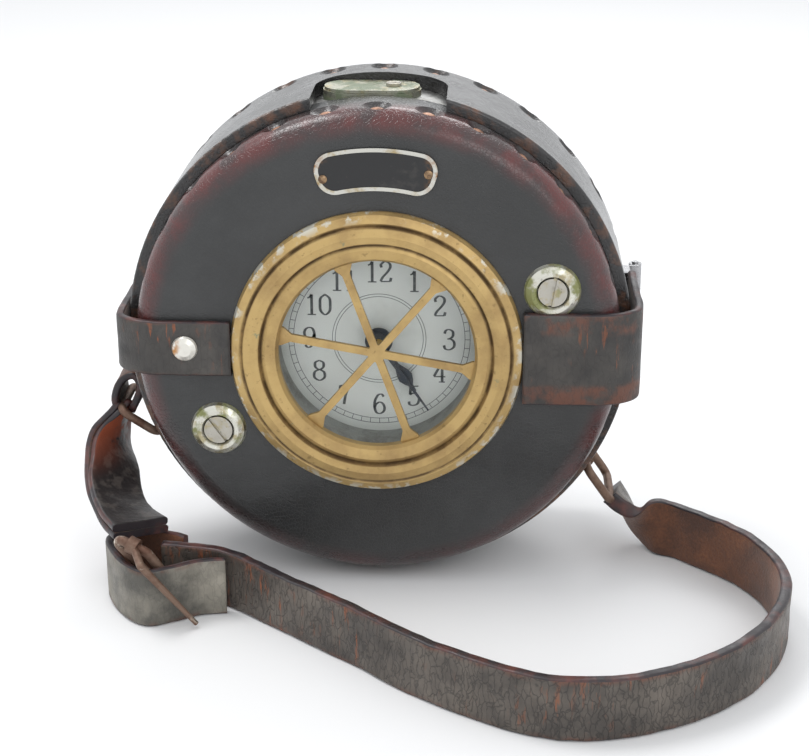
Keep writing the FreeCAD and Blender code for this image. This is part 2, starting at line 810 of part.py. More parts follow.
# Lid: a spun pan behind the rear leather cup, hinged at the right, with a lock at the left
cup_front = S["band_back"] + S["seam_gap"]
pan_back = S["case_depth"] - S["cup_leather"]
pan_front = S["band_back"] - S["lid_lap"]
pan_radius = cup_inside - S["leather_fit"]
pan = turned("lid_pan", [
    (0, pan_back - wall),
    (pan_radius - wall, pan_back - wall),
    (pan_radius - wall, pan_front),
    (pan_radius, pan_front),
    (pan_radius, pan_back),
    (0, pan_back),
])
round_ring(pan, pan_radius, pan_back, S["cup_round"] - S["cup_leather"] + S["leather_fit"])
lock_hole = rod(S["lock_radius"] + 0.05, S["case_depth"] - 8, S["case_depth"] + 2, S["lock_across"], 0, "lock_hole")
del nodes["lid_pan"]
keep(cut(pan, lock_hole, "rear_cover"), "rear_cover")
rear_cup = turned("rear_cup_ring", [
    (0, pan_back),
    (cup_inside, pan_back),
    (cup_inside, cup_front),
    (S["cup_radius"], cup_front),
    (S["cup_radius"], S["case_depth"]),
    (0, S["case_depth"]),
])
round_ring(rear_cup, S["cup_radius"], S["case_depth"], S["cup_round"])
round_ring(rear_cup, cup_inside, pan_back, S["cup_round"] - S["cup_leather"])
rear_cup_hole = rod(S["lock_radius"] + 0.05, S["case_depth"] - 8, S["case_depth"] + 2, S["lock_across"], 0,
                    "rear_cup_hole")
del nodes["rear_cup_ring"]
keep(cut(rear_cup, rear_cup_hole, "rear_leather_cup"), "rear_leather_cup")

lock_back = S["case_depth"] - 0.2
barrel_bore = S["lock_radius"] - 1.4
housing = disc(S["lock_radius"], S["latch_depth"] + S["latch_thickness"] + 0.3, lock_back, S["lock_across"], 0)
housing = housing.cut(disc(float(barrel_bore) + 0.05, 40, 60, S["lock_across"], 0))
flange = disc(float(S["lock_radius"]) + 1.6, float(pan_back) - float(wall) - 1.2, float(pan_back) - float(wall) - 0.02,
              S["lock_across"], 0)
flange = flange.cut(disc(float(barrel_bore) + 0.05, 40, 60, S["lock_across"], 0))
built("lock_housing", housing.fuse(flange).removeSplitter())
plug = disc(barrel_bore, float(S["latch_depth"]) + 0.02, float(lock_back) - 0.3, S["lock_across"], 0)
key_slot = Part.makeBox(1.2, 6, 4.4, Vector(float(S["lock_across"]) - 0.6, float(lock_back) - 6.3, -2.2))
key_slot.translate(Vector(0, -float(S["case_depth"]), 0))
latch = Part.makeBox(5, float(S["latch_thickness"]), float(S["latch_length"]) + 2.5,
                     Vector(float(S["lock_across"]) - 2.5, float(deep(S["latch_depth"])), -2.5))
latch.translate(Vector(0, -float(S["latch_thickness"]), 0))
group("lock_plug", [plug.cut(key_slot), latch])

hinge_y = float(deep(S["hinge_depth"]))
hinge_x = float(S["hinge_across"])
leaf_top = float(S["hinge_height"]) / 2
knuckle = float(S["hinge_height"]) / 3
outer_radius = float(S["hinge_barrel"])


def knuckle_piece(low, high):
    piece = Part.makeCylinder(outer_radius, high - low, Vector(hinge_x, hinge_y, low))
    bore = Part.makeCylinder(float(S["hinge_pin"]) + float(S["running_gap"]), high - low,
                             Vector(hinge_x, hinge_y, low))
    return piece, bore


def case_leaf():
    low, high = -leaf_top, leaf_top
    back = float(deep(S["band_back"])) - 1.0
    front = float(deep(S["right_strap_back"])) + 0.6
    shoulder = float(S["band_radius"]) + 0.05
    leaf = Part.makeBox(2.6, back - front, high - low, Vector(shoulder - 1.5, front, low))
    leaf = leaf.cut(disc(shoulder, 30, 60))
    arm_width = hinge_x - shoulder - 0.2
    for k_low, k_high in ((low, low + knuckle - 0.1), (high - knuckle + 0.1, high)):
        tube_piece, bore = knuckle_piece(k_low, k_high)
        arm = Part.makeBox(arm_width + 1, 1.0, k_high - k_low, Vector(shoulder + 0.1, back - 1.0, k_low))
        arm = arm.fuse(Part.makeBox(1.2, hinge_y - back + 1.0, k_high - k_low, Vector(hinge_x - 0.6, back - 1, k_low)))
        leaf = leaf.fuse(arm).fuse(tube_piece).cut(bore)
    return leaf.removeSplitter()


def lid_leaf():
    low, high = -knuckle / 2 + 0.1, knuckle / 2 - 0.1
    tube_piece, bore = knuckle_piece(low, high)
    seat = float(S["cup_radius"]) + 0.05
    arm = Part.makeBox(hinge_x - seat, 1.4, high - low, Vector(seat, hinge_y - 0.1, low))
    plate = Part.makeBox(3.0, 4.2, high - low + 12, Vector(seat - 1.2, hinge_y - 0.1, low - 6))
    plate = plate.cut(disc(seat, 40, 62))
    return arm.fuse(plate).fuse(tube_piece).cut(bore).removeSplitter()


hinge_rod = Part.makeCylinder(float(S["hinge_pin"]), float(S["hinge_height"]) + 1,
                              Vector(hinge_x, hinge_y, -leaf_top - 0.5))
group("hinge_case_leaf", [case_leaf(), hinge_rod])
built("hinge_lid_leaf", lid_leaf())

# Clock movement between two plates
front_plate = float(S["front_plate_depth"])
metal = float(S["plate_metal"])
gap_front = front_plate + metal
gap_back = gap_front + float(S["plate_gap"])
back_plate_end = gap_back + metal
run = float(S["running_gap"])
barrel_centres = float(S["barrel_module"]) * (float(S["barrel_teeth"]) + float(S["centre_pinion_teeth"])) / 2
third_centres = float(S["centre_module"]) * (float(S["centre_teeth"]) + float(S["third_pinion_teeth"])) / 2
fourth_centres = float(S["third_module"]) * (float(S["third_teeth"]) + float(S["fourth_pinion_teeth"])) / 2
escape_centres = float(S["fourth_module"]) * (float(S["fourth_teeth"]) + float(S["escape_pinion_teeth"])) / 2
type_centres = float(S["type_module"]) * float(S["type_teeth"])
barrel_place = polar(barrel_centres, S["barrel_angle"])
third_place = polar(third_centres, S["third_angle"])
fourth_place = polar(fourth_centres, S["fourth_angle"], *third_place)
escape_place = polar(escape_centres, S["escape_angle"], *fourth_place)
balance_place = (escape_place[0], escape_place[1] - float(S["balance_drop"]))
pallet_place = (escape_place[0], escape_place[1] - float(S["balance_drop"]) * 0.45)
type_place = polar(type_centres, S["type_angle"])
minute_place = polar(S["motion_centres"], -90)
arbor = float(S["arbor_radius"])
pivot = arbor * 0.6
centre_radius = float(S["centre_arbor"])
pillar_places = screw_places + [(-31.0, 31.0), (12.0, -48.0)]
spool_places = [(S["supply_x"], S["supply_z"]), (S["takeup_x"], S["takeup_z"])]
guide_places = [(-25.4, 35.6), (9.6, 35.6)]


def movement_plate(start, holes):
    plate = disc(S["plate_radius"], start, start + metal)
    top = Part.makeBox(140, 10, 40, Vector(-70, float(deep(start)) - 2, float(S["plate_top"])))
    plate = plate.cut(top)
    for radius, (x, z) in holes:
        plate = plate.cut(disc(radius, start - 1, start + metal + 1, x, z))
    return plate


train_holes = [(pivot + run, place) for place in (third_place, fourth_place, escape_place, pallet_place)]
train_holes.append((centre_radius + run, (0, 0)))
barrel_arbor = 2.0
train_holes.append((barrel_arbor + run, barrel_place))
front_holes = train_holes + [(pivot + run, balance_place)]
staff = 0.7
back_holes = train_holes + [(staff + 0.6, balance_place), (arbor + run, type_place)]
minute_stud = 1.0
motion_front = front_plate - 2.9
front_plate_shape = movement_plate(front_plate, front_holes)
for x, z in pillar_places:
    front_plate_shape = front_plate_shape.fuse(disc(S["pillar_radius"], gap_front - 0.2, gap_back, x, z))
for x, z in screw_places:
    post = disc(float(S["pillar_radius"]) + 1.3, float(drum_front) + float(wall), front_plate + 0.2, x, z)
    front_plate_shape = front_plate_shape.fuse(post.cut(disc(float(screw_shank) + run, 0, front_plate - 5.9, x, z)))
front_plate_shape = front_plate_shape.fuse(disc(minute_stud, motion_front - 2.6, front_plate + 0.2, *minute_place))
front_plate_shape = front_plate_shape.fuse(disc(1.7, front_plate - 1.5, front_plate + 0.2, *minute_place))
built("movement_front_plate", front_plate_shape.removeSplitter())
plate_screws = []
for x, z in pillar_places:
    screw = disc(2.0, back_plate_end, back_plate_end + 1.2, x, z)
    cut_box = Part.makeBox(5, 0.6, 0.7, Vector(float(x) - 2.5, float(deep(back_plate_end + 0.7)), float(z) - 0.35))
    plate_screws.append(screw.cut(cut_box))

# Going train
centre_wheel_front = gap_front + 0.5
barrel_front = gap_front + 2.3
barrel_back = barrel_front + float(S["barrel_height"])
rim_front = barrel_back - 1.4
third_wheel_front = gap_front + 4.5
fourth_wheel_front = gap_front + 2.4
escape_front = gap_front + 4.6


def wheel_on_arbor(wheel, pinion, place, hub, rim, arms):
    teeth, module, start, thick, phase = wheel
    solid = toothed(teeth, module, start, start + thick, phase, *place)
    solid = cross_out(solid, hub, rim, start, start + thick, arms, 1.3, *place)
    leaves, leaf_module, leaf_start, leaf_end, leaf_phase = pinion
    solid = solid.fuse(toothed(leaves, leaf_module, leaf_start, leaf_end, leaf_phase, *place, width=0.36, tip=0.62))
    solid = solid.fuse(disc(arbor, gap_front + 0.15, gap_back - 0.15, *place))
    solid = solid.fuse(disc(pivot, front_plate + 0.2, back_plate_end - 0.2, *place))
    return solid.removeSplitter()


def mate_phase(angle, teeth):
    return float(angle) + 180 + 180.0 / float(teeth)


barrel = toothed(S["barrel_teeth"], S["barrel_module"], rim_front, barrel_back, float(S["barrel_angle"]) + 180,
                 *barrel_place)
drum_wall_radius = float(S["barrel_module"]) * float(S["barrel_teeth"]) / 2 - 1.5
barrel = barrel.fuse(disc(drum_wall_radius, barrel_front, rim_front, *barrel_place))
barrel = barrel.cut(disc(drum_wall_radius - 1.0, barrel_front + 0.7, barrel_back - 0.7, *barrel_place))
barrel = barrel.cut(disc(barrel_arbor + run, barrel_front - 1, barrel_back + 1, *barrel_place))
built("mainspring_barrel", barrel.removeSplitter())


def spiral_ribbon(place, inner, outer, turns, thick, start, end, first_angle=0.0):
    per_turn = 20
    steps = int(turns * per_turn)
    edge_out, edge_in = [], []
    for step in range(steps + 1):
        share = step / steps
        radius = inner + (outer - inner) * share
        angle = first_angle + 360.0 * turns * share
        edge_out.append(polar(radius + thick / 2, angle, *place))
        edge_in.append(polar(radius - thick / 2, angle, *place))
    return raised(flat_face(edge_out + edge_in[::-1]), start, end)


built("mainspring", spiral_ribbon(barrel_place, barrel_arbor + 2.2, drum_wall_radius - 1.6, 4, 0.6,
                                  barrel_front + 0.9, barrel_back - 0.9))
square_side = 2.6
winder = disc(barrel_arbor, front_plate + 0.2, back_plate_end + 2.4, *barrel_place)
square = Part.makeBox(square_side, 12.0, square_side,
                      Vector(-square_side / 2, float(deep(back_plate_end + 2.4)), -square_side / 2))
square.translate(Vector(barrel_place[0], 0, barrel_place[1]))
built("winding_arbor", winder.fuse(square).removeSplitter())

ratchet_teeth = 24
ratchet_radius = 7.6


def ratchet_wheel():
    points = []
    for number in range(ratchet_teeth):
        points.append(polar(ratchet_radius, 360.0 * number / ratchet_teeth, *barrel_place))
        points.append(polar(ratchet_radius - 1.1, 360.0 * (number + 0.04) / ratchet_teeth, *barrel_place))
    start = back_plate_end + 0.4
    wheel = raised(flat_face(points), start, start + 1.4)
    return wheel.cut(disc(barrel_arbor + 0.01, start - 1, start + 3, *barrel_place))


built("ratchet_wheel", ratchet_wheel())
click_place = polar(ratchet_radius + 5.0, 180, *barrel_place)


def click():
    start = back_plate_end + 0.4
    tip = polar(ratchet_radius + 0.15, 215, *barrel_place)
    beyond = polar(ratchet_radius + 1.6, 212, *barrel_place)
    shoulder = (click_place[0] + 1.6, click_place[1] + 0.6)
    heel = (click_place[0] - 1.6, click_place[1] - 0.4)
    body = raised(flat_face([shoulder, tip, beyond, heel]), start, start + 1.4)
    body = body.fuse(disc(1.9, start, start + 1.4, *click_place))
    return body.cut(disc(0.8, start - 1, start + 2, *click_place)).removeSplitter()


built("click", click())
screw_start = back_plate_end
plate_screws.append(disc(0.75, screw_start, screw_start + 1.9, *click_place).fuse(
    disc(1.6, screw_start + 1.9, screw_start + 2.7, *click_place)).removeSplitter())
group("movement_screws", plate_screws)

# Centre arbor carries the centre wheel, the barrel's pinion, the minute pipe and, behind, the recorder's drive
centre = toothed(S["centre_pinion_teeth"], S["barrel_module"], rim_front - 0.5, gap_back - 0.3,
                 mate_phase(float(S["barrel_angle"]) + 180, S["centre_pinion_teeth"]) - 180 + 180, width=0.36,
                 tip=0.62)
centre = centre.fuse(disc(centre_radius, 8.3, back_plate_end + 2.6))
centre_wheel = toothed(S["centre_teeth"], S["centre_module"], centre_wheel_front, centre_wheel_front + 1.0,
                       S["third_angle"])
centre_wheel = cross_out(centre_wheel, 4.0, 13.0, centre_wheel_front, centre_wheel_front + 1.0, 5, 1.6)
built("centre_wheel", centre.fuse(centre_wheel).removeSplitter())
built("third_wheel", wheel_on_arbor(
    (S["third_teeth"], S["third_module"], third_wheel_front, 0.9, S["fourth_angle"]),
    (S["third_pinion_teeth"], S["centre_module"], gap_front + 0.3, gap_front + 1.9,
     mate_phase(S["third_angle"], S["third_pinion_teeth"])),
    third_place, 3.0, 9.8, 4))
built("fourth_wheel", wheel_on_arbor(
    (S["fourth_teeth"], S["fourth_module"], fourth_wheel_front, 0.6, S["escape_angle"]),
    (S["fourth_pinion_teeth"], S["third_module"], gap_front + 4.0, gap_front + 5.8,
     mate_phase(S["fourth_angle"], S["fourth_pinion_teeth"])),
    fourth_place, 2.2, 6.6, 4))


def escape_wheel():
    count = int(S["escape_teeth"].value)
    points = []
    for number in range(count):
        base = 360.0 * number / count
        points.append(polar(S["escape_radius"], base, *escape_place))
        points.append(polar(float(S["escape_radius"]) * 0.74, base + 5, *escape_place))
        points.append(polar(float(S["escape_radius"]) * 0.74, base + 16, *escape_place))
    wheel = raised(flat_face(points), escape_front, escape_front + 0.5)
    wheel = wheel.fuse(toothed(S["escape_pinion_teeth"], S["fourth_module"], gap_front + 2.0, gap_front + 3.6,
                               mate_phase(S["escape_angle"], S["escape_pinion_teeth"]), *escape_place,
                               width=0.36, tip=0.62))
    wheel = wheel.fuse(disc(0.5, gap_front + 0.15, gap_back - 0.15, *escape_place))
    wheel = wheel.fuse(disc(pivot, front_plate + 0.2, gap_front + 0.3, *escape_place))
    wheel = wheel.fuse(disc(pivot, gap_back - 0.3, back_plate_end - 0.2, *escape_place))
    return wheel.removeSplitter()


built("escape_wheel", escape_wheel())


def pallet_fork():
    x, z = pallet_place
    start = escape_front
    end = start + 0.6
    arms = flat_face([(x - 4.4, z + 1.5), (x - 3.4, z + 1.9), (x, z + 0.9), (x + 3.4, z + 1.9), (x + 4.4, z + 1.5),
                      (x + 0.7, z - 0.6), (x + 0.5, z - 3.6), (x + 1.2, z - 4.4), (x + 0.6, z - 4.6), (x, z - 4.0),
                      (x - 0.6, z - 4.6), (x - 1.2, z - 4.4), (x - 0.5, z - 3.6), (x - 0.7, z - 0.6)])
    fork = raised(arms, start, end)
    fork = fork.fuse(disc(0.6, gap_front + 0.15, gap_back - 0.15, x, z))
    fork = fork.fuse(disc(pivot, front_plate + 0.2, gap_front + 0.2, x, z))
    fork = fork.fuse(disc(pivot, gap_back - 0.2, back_plate_end - 0.2, x, z))
    return fork.removeSplitter()


built("pallet_fork", pallet_fork())
balance_front = back_plate_end + 2.0
balance_back = balance_front + 1.2
cock_front = balance_back + 2.6
cock_back = cock_front + 1.4


def balance_wheel():
    x, z = balance_place
    radius = float(S["balance_radius"])
    rim = disc(radius, balance_front, balance_back, x, z).cut(disc(radius - 1.3, balance_front, balance_back, x, z))
    bar = Part.makeBox(2 * radius - 1.6, 1.2, 1.4, Vector(x - radius + 0.8, float(deep(balance_front)), z - 0.7))
    wheel = rim.fuse(bar).fuse(disc(staff, gap_front + 0.15, cock_front - 0.1, x, z))
    wheel = wheel.fuse(disc(pivot, front_plate + 0.2, gap_front + 0.2, x, z))
    wheel = wheel.fuse(disc(0.4, cock_front - 0.2, cock_back - 0.2, x, z))
    return wheel.removeSplitter()


built("balance_wheel", balance_wheel())
built("hairspring", spiral_ribbon(balance_place, 1.6, 5.6, 5, 0.22, balance_back + 1.0, balance_back + 1.5))


def balance_cock():
    x, z = balance_place
    foot = polar(15.5, -35, x, z)
    half = 2.6
    arm = [(x, z + half), (x - half, z), (x, z - half), (foot[0], foot[1] - half), (foot[0] + 3, foot[1]),
           (foot[0], foot[1] + half)]
    cock = raised(flat_face(arm), cock_front, cock_back)
    cock = cock.fuse(disc(2.6, back_plate_end, cock_back, *foot))
    return cock.cut(disc(0.45, cock_front - 1, cock_back + 1, x, z)).removeSplitter()


built("balance_cock", balance_cock())

# Motion work behind the dial
motion = float(S["motion_centres"])
cannon_module = 2 * motion / (float(S["cannon_teeth"]) + float(S["minute_wheel_teeth"]))
hour_module = 2 * motion / (float(S["hour_wheel_teeth"]) + float(S["minute_pinion_teeth"]))
cannon_front = motion_front
cannon = toothed(S["cannon_teeth"], cannon_module, cannon_front, cannon_front + 1.6, -90, width=0.38)
cannon = cannon.fuse(disc(S["cannon_pipe"], 9.0, cannon_front + 0.1))
built("cannon_pinion", cannon.cut(disc(centre_radius + 0.01, 8, 22)).removeSplitter())
minute_wheel = toothed(S["minute_wheel_teeth"], cannon_module, cannon_front + 0.3, cannon_front + 1.3,
                       mate_phase(-90, S["minute_wheel_teeth"]), *minute_place)
minute_wheel = minute_wheel.fuse(toothed(S["minute_pinion_teeth"], hour_module, cannon_front - 2.4,
                                         cannon_front + 0.3, -90 + 180, *minute_place, width=0.38))
built("minute_wheel", minute_wheel.cut(disc(minute_stud + run, 10, 25, *minute_place)).removeSplitter())
hour_wheel = toothed(S["hour_wheel_teeth"], hour_module, cannon_front - 2.3, cannon_front - 1.1,
                     mate_phase(90, S["hour_wheel_teeth"]))
hour_pipe = float(S["cannon_pipe"]) + 0.75
hour_wheel = hour_wheel.fuse(disc(hour_pipe, 10.6, cannon_front - 1.1))
built("hour_wheel", hour_wheel.cut(disc(float(S["cannon_pipe"]) + run, 9, 22)).removeSplitter())


def hand(outline, hub, bore, start, end):
    turn = math.radians(float(S["hand_angle"]))
    points = []
    for across, along in outline:
        points.append((along * math.sin(turn) + across * math.cos(turn),
                       along * math.cos(turn) - across * math.sin(turn)))
    solid = raised(flat_face(points), start, end).fuse(disc(hub, start, end))
    return solid.cut(disc(bore, start - 1, end + 1)).removeSplitter()


def mirrored(right_side):
    return right_side + [(-across, along) for across, along in right_side[::-1] if across > 0.001]


minute_outline = mirrored([(0.55, -7.0), (0.8, -4.0), (0.75, 0), (0.55, 12), (0.2, 25.3)])
hour_outline = mirrored([(0.9, 0), (0.65, 9.0), (1.9, 12.0), (2.2, 13.6), (1.4, 15.4), (0.5, 16.6), (0.25, 18.6)])
built("minute_hand", hand(minute_outline, 3.0, centre_radius + 0.01, 8.5, 8.95))
built("hour_hand", hand(hour_outline, 4.0, float(S["cannon_pipe"]) + run, 10.1, 10.55))

# Recorder behind the back plate: type wheel, tape, spools and stamping lever
drive_front = back_plate_end + 0.8
drive_back = drive_front + 1.4
drive = toothed(S["type_teeth"], S["type_module"], drive_front, drive_back, S["type_angle"])
drive = cross_out(drive, 4.0, 12.4, drive_front, drive_back, 5, 1.8)
built("recorder_drive_gear", drive.cut(disc(centre_radius + 0.01, 20, 45)))
tape_front = float(S["tape_front"])
tape_back = tape_front + float(S["tape_width"])
type_gear = toothed(S["type_teeth"], S["type_module"], drive_front, drive_back,
                    mate_phase(S["type_angle"], S["type_teeth"]), *type_place)
type_gear = type_gear.fuse(disc(arbor, gap_back + 0.1, tape_back + 1.5, *type_place))


def type_wheel():
    radius = float(S["type_radius"])
    points = []
    characters = 12
    for number in range(characters):
        base = 360.0 * number / characters
        points.append(polar(radius, base - 9, *type_place))
        points.append(polar(radius, base + 9, *type_place))
        points.append(polar(radius - 0.9, base + 11, *type_place))
        points.append(polar(radius - 0.9, base + 19, *type_place))
    wheel = raised(flat_face(points), tape_front + 0.5, tape_back - 0.5)
    return wheel.fuse(type_gear).removeSplitter()


built("type_wheel", type_wheel())
spool_front = tape_front - 1.0
spool_back = tape_back + 1.0
spool_post = 1.6


def spool(place):
    body = disc(S["spool_hub"], spool_front, spool_back, *place)
    for start in (spool_front, spool_back - 0.7):
        body = body.fuse(disc(S["spool_radius"], start, start + 0.7, *place))
    return body.cut(disc(spool_post + run, 20, 50, *place)).removeSplitter()


def paper_roll(radius, place):
    roll = disc(radius, tape_front, tape_back, *place)
    return roll.cut(disc(float(S["spool_hub"]) + 0.02, 20, 50, *place))


built("supply_spool", spool(spool_places[0]))
built("supply_roll", paper_roll(S["supply_roll"], spool_places[0]))
built("takeup_spool", spool(spool_places[1]))
built("takeup_roll", paper_roll(S["takeup_roll"], spool_places[1]))
guide_radius = 2.0


# The tape runs off the top of the supply roll, over both guides and the type wheel, and down to the other roll
def tangent_point(centre, radius, target, side):
    dx, dz = target[0] - centre[0], target[1] - centre[1]
    reach = math.hypot(dx, dz)
    lean = math.degrees(math.atan2(dz, dx))
    opening = math.degrees(math.acos(radius / reach))
    return polar(radius, lean + side * opening, *centre)


def paper_tape():
    clear = 0.3
    thick = float(S["tape_thickness"])
    over = guide_places[0][1] + guide_radius + clear
    supply = tuple(float(value) for value in spool_places[0])
    takeup = tuple(float(value) for value in spool_places[1])
    left_top = (guide_places[0][0] - 0.6, over)
    right_top = (guide_places[1][0] + 0.6, over)
    off_supply = tangent_point(supply, float(S["supply_roll"]) + clear, left_top, 1)
    on_takeup = tangent_point(takeup, float(S["takeup_roll"]) + clear, right_top, -1)
    low = [off_supply, left_top, right_top, on_takeup]
    high = [(x, z + thick) for x, z in low]
    return raised(flat_face(low + high[::-1]), tape_front, tape_back)


built("paper_tape", paper_tape())
lever_pivot = (10.5, 43.6)
lever_gap = 1.9
tape_level = guide_places[0][1] + guide_radius + 0.3 + float(S["tape_thickness"])


def stamp_lever():
    front = tape_front + 1.0
    back = tape_back - 1.0
    head_x = type_place[0]
    low = tape_level + lever_gap
    arm = [(lever_pivot[0] + 2.2, lever_pivot[1] - 1.4), (lever_pivot[0] + 2.2, lever_pivot[1] + 1.6),
           (head_x + 5.0, 50.2), (head_x - 4.0, 50.2), (head_x - 4.0, 46.6), (head_x - 2.2, 45.6),
           (head_x - 2.2, low), (head_x + 2.2, low), (head_x + 2.2, 45.0)]
    lever = raised(flat_face(arm), front, back)
    pad_x = float(S["key_left"])
    pad = Part.makeBox(6.4, front - float(S["key_depth"]) + 3.6, 1.6,
                       Vector(pad_x - 3.2, float(deep(float(S["key_depth"]) - 2.6)), 48.6))
    lever = lever.fuse(pad)
    return lever.cut(disc(1.2 + run, 20, 50, *lever_pivot)).removeSplitter()


built("stamp_lever", stamp_lever())
back_plate = movement_plate(gap_back, back_holes)
into_plate = back_plate_end - 0.2
for x, z in spool_places:
    back_plate = back_plate.fuse(disc(spool_post, into_plate, spool_back + 1.4, x, z))
    back_plate = back_plate.fuse(disc(2.4, into_plate, spool_front - 0.3, x, z))
for x, z in guide_places:
    back_plate = back_plate.fuse(disc(guide_radius, into_plate, tape_back + 1.2, x, z))
back_plate = back_plate.fuse(disc(1.2, into_plate, tape_back + 1.0, *lever_pivot))
back_plate = back_plate.fuse(disc(2.2, into_plate, tape_front - 0.4, *lever_pivot))
built("movement_back_plate", back_plate.removeSplitter())

# Rings at the sides, each in a riveted lug
wire = float(S["ring_wire"])
lug_out = float(S["band_radius"]) + 2.1


def turned_about_case(shape, angle):
    shape.rotate(Vector(0, 0, 0), Vector(0, 1, 0), -float(angle))
    return shape


def lug(angle):
    y = float(deep(S["ring_depth"]))
    half = 3.6
    seat = float(S["band_radius"]) + 0.05
    base = Part.makeBox(3.0, 2 * half, 24, Vector(seat - 1.2, y - half, -12))
    base = base.cut(disc(seat, 10, 60))
    base = base.common(disc(seat + 1.1, 10, 60))
    eye = Part.makeCylinder(wire + 1.2, 2 * half, Vector(lug_out + 0.6, y - half, 0), Vector(0, 1, 0))
    eye = eye.cut(disc(seat, 10, 60))
    eye = eye.fuse(base)
    bore = Part.makeCylinder(wire + 0.08, 2 * half + 2, Vector(lug_out + 0.6, y - half - 1, 0), Vector(0, 1, 0))
    return turned_about_case(eye.cut(bore).removeSplitter(), angle)


def lug_rivets(angle):
    y = float(deep(S["ring_depth"]))
    made = []
    for lean in (-7.0, 7.0):
        head = Part.makeCylinder(1.7, 0.7, Vector(float(S["band_radius"]) + 1.17, y, 0), Vector(1, 0, 0))
        made.append(turned_about_case(head, float(angle) + lean))
    return made


def wire_loop(corners, radius, bend_radius):
    count = len(corners)
    edges = []
    joints = []
    for index in range(count):
        before, here, after = corners[index - 1], corners[index], corners[(index + 1) % count]
        back = (before - here).normalize()
        ahead = (after - here).normalize()
        middle_direction = (back + ahead).normalize()
        half_turn = math.acos(max(-1.0, min(1.0, back.dot(ahead)))) / 2
        start = here + back * (bend_radius / math.tan(half_turn))
        end = here + ahead * (bend_radius / math.tan(half_turn))
        centre = here + middle_direction * (bend_radius / math.sin(half_turn))
        middle = centre - middle_direction * bend_radius
        joints.append((start, middle, end))
    for index in range(count):
        start, middle, end = joints[index]
        following = joints[(index + 1) % count][0]
        edges.append(Part.Arc(start, middle, end).toShape())
        edges.append(Part.LineSegment(end, following).toShape())
    path = Part.Wire(edges)
    first = edges[-1]
    origin = first.Vertexes[0].Point
    direction = first.tangentAt(first.FirstParameter)
    path = Part.Wire([edges[-1]] + edges[:-1])
    circle = Part.Wire(Part.makeCircle(radius, origin, direction))
    return path.makePipeShell([circle], True, True)


def side_ring(angle, lean):
    y = float(deep(S["ring_depth"]))
    half = float(S["ring_inside"]) / 2 + wire
    axis_x = lug_out + 0.6
    reach = float(S["ring_reach"]) + wire
    turn = math.radians(lean)
    out = Vector(math.cos(turn), 0, math.sin(turn)) * reach
    start = Vector(axis_x, y, 0)
    side = Vector(0, half, 0)
    corners = [start - side, start + side, start + side + out, start - side + out]
    ring = wire_loop(corners, wire, 3.0)
    return turned_about_case(ring, angle)


group("ring_lugs", [lug(S["left_ring_angle"]), lug(S["right_ring_angle"])])
case_rivets += lug_rivets(S["left_ring_angle"]) + lug_rivets(S["right_ring_angle"])
group("case_rivets", case_rivets)
left_lean = -60.0
right_lean = -20.0
built("left_ring", side_ring(S["left_ring_angle"], left_lean))
built("right_ring", side_ring(S["right_ring_angle"], right_lean))

# Shoulder strap, standing on its edge on the ground in front of the case
ground = -float(S["band_radius"])
strap_width = float(S["strap_width"])
strap_leather = float(S["strap_leather"])


def smooth_run(points):
    curve = Part.BSplineCurve()
    curve.interpolate([Vector(x, y, 0) for x, y in points])
    return curve


def standing_strap(points, thick, low, high, pieces):
    middle = smooth_run(points)
    first, last = middle.FirstParameter, middle.LastParameter
    sides = ([], [])
    for step in range(pieces + 1):
        parameter = first + (last - first) * step / pieces
        place = middle.value(parameter)
        along = middle.tangent(parameter)[0]
        across = Vector(-along.y, along.x, 0) * (thick / 2)
        sides[0].append(place + across)
        sides[1].append(place - across)
    left, right = Part.BSplineCurve(), Part.BSplineCurve()
    left.interpolate(sides[0])
    right.interpolate(sides[1])
    edges = [
        left.toShape(), Part.LineSegment(sides[0][-1], sides[1][-1]).toShape(),
        right.toShape(), Part.LineSegment(sides[1][0], sides[0][0]).toShape(),
    ]
    face = Part.Face(Part.Wire(Part.sortEdges(edges)[0]))
    solid = face.extrude(Vector(0, 0, high - low))
    solid.translate(Vector(0, -float(S["case_depth"]), low))
    return solid


long_run = [(-62.0, -11.0), (-50.0, -12.5), (-40.0, -17.0), (-22.0, -32.5), (-4.0, -47.5), (21.0, -69.0),
            (51.0, -83.6), (80.0, -77.0), (104.0, -56.0), (115.5, -27.0), (110.3, -0.5), (92.5, 19.5), (84.5, 25.5)]
long_strap = standing_strap(long_run, strap_leather, ground, ground + strap_width, 24)
chape_leather = 2.4
chape_run = [(-42.5, -20.2), (-50.0, -21.8), (-57.0, -26.0), (-64.5, -29.0), (-72.5, -21.5), (-78.0, -8.5),
             (-73.5, -1.0), (-65.0, -2.0), (-56.0, -6.5)]
built("strap_chape", standing_strap(chape_run, chape_leather, ground, ground + strap_width, 18))


# Short pieces of strap are lofted through sections, each with its middle, its width and its face direction
def strap_loft(sections, ruled=False):
    wires = []
    for middle, width_way, face_way, width, thick in sections:
        centre = Vector(middle[0], middle[1] - float(S["case_depth"]), middle[2])
        across = Vector(*width_way).normalize() * (width / 2)
        face = Vector(*face_way)
        face = (face - across * (face.dot(across) / across.dot(across))).normalize() * (thick / 2)
        corners = [centre + across + face, centre - across + face, centre - across - face, centre + across - face]
        wires.append(Part.makePolygon(corners + [corners[0]]))
    solid = Part.makeLoft(wires, True, ruled)
    if solid.Volume < 0:
        solid.reverse()
    return solid


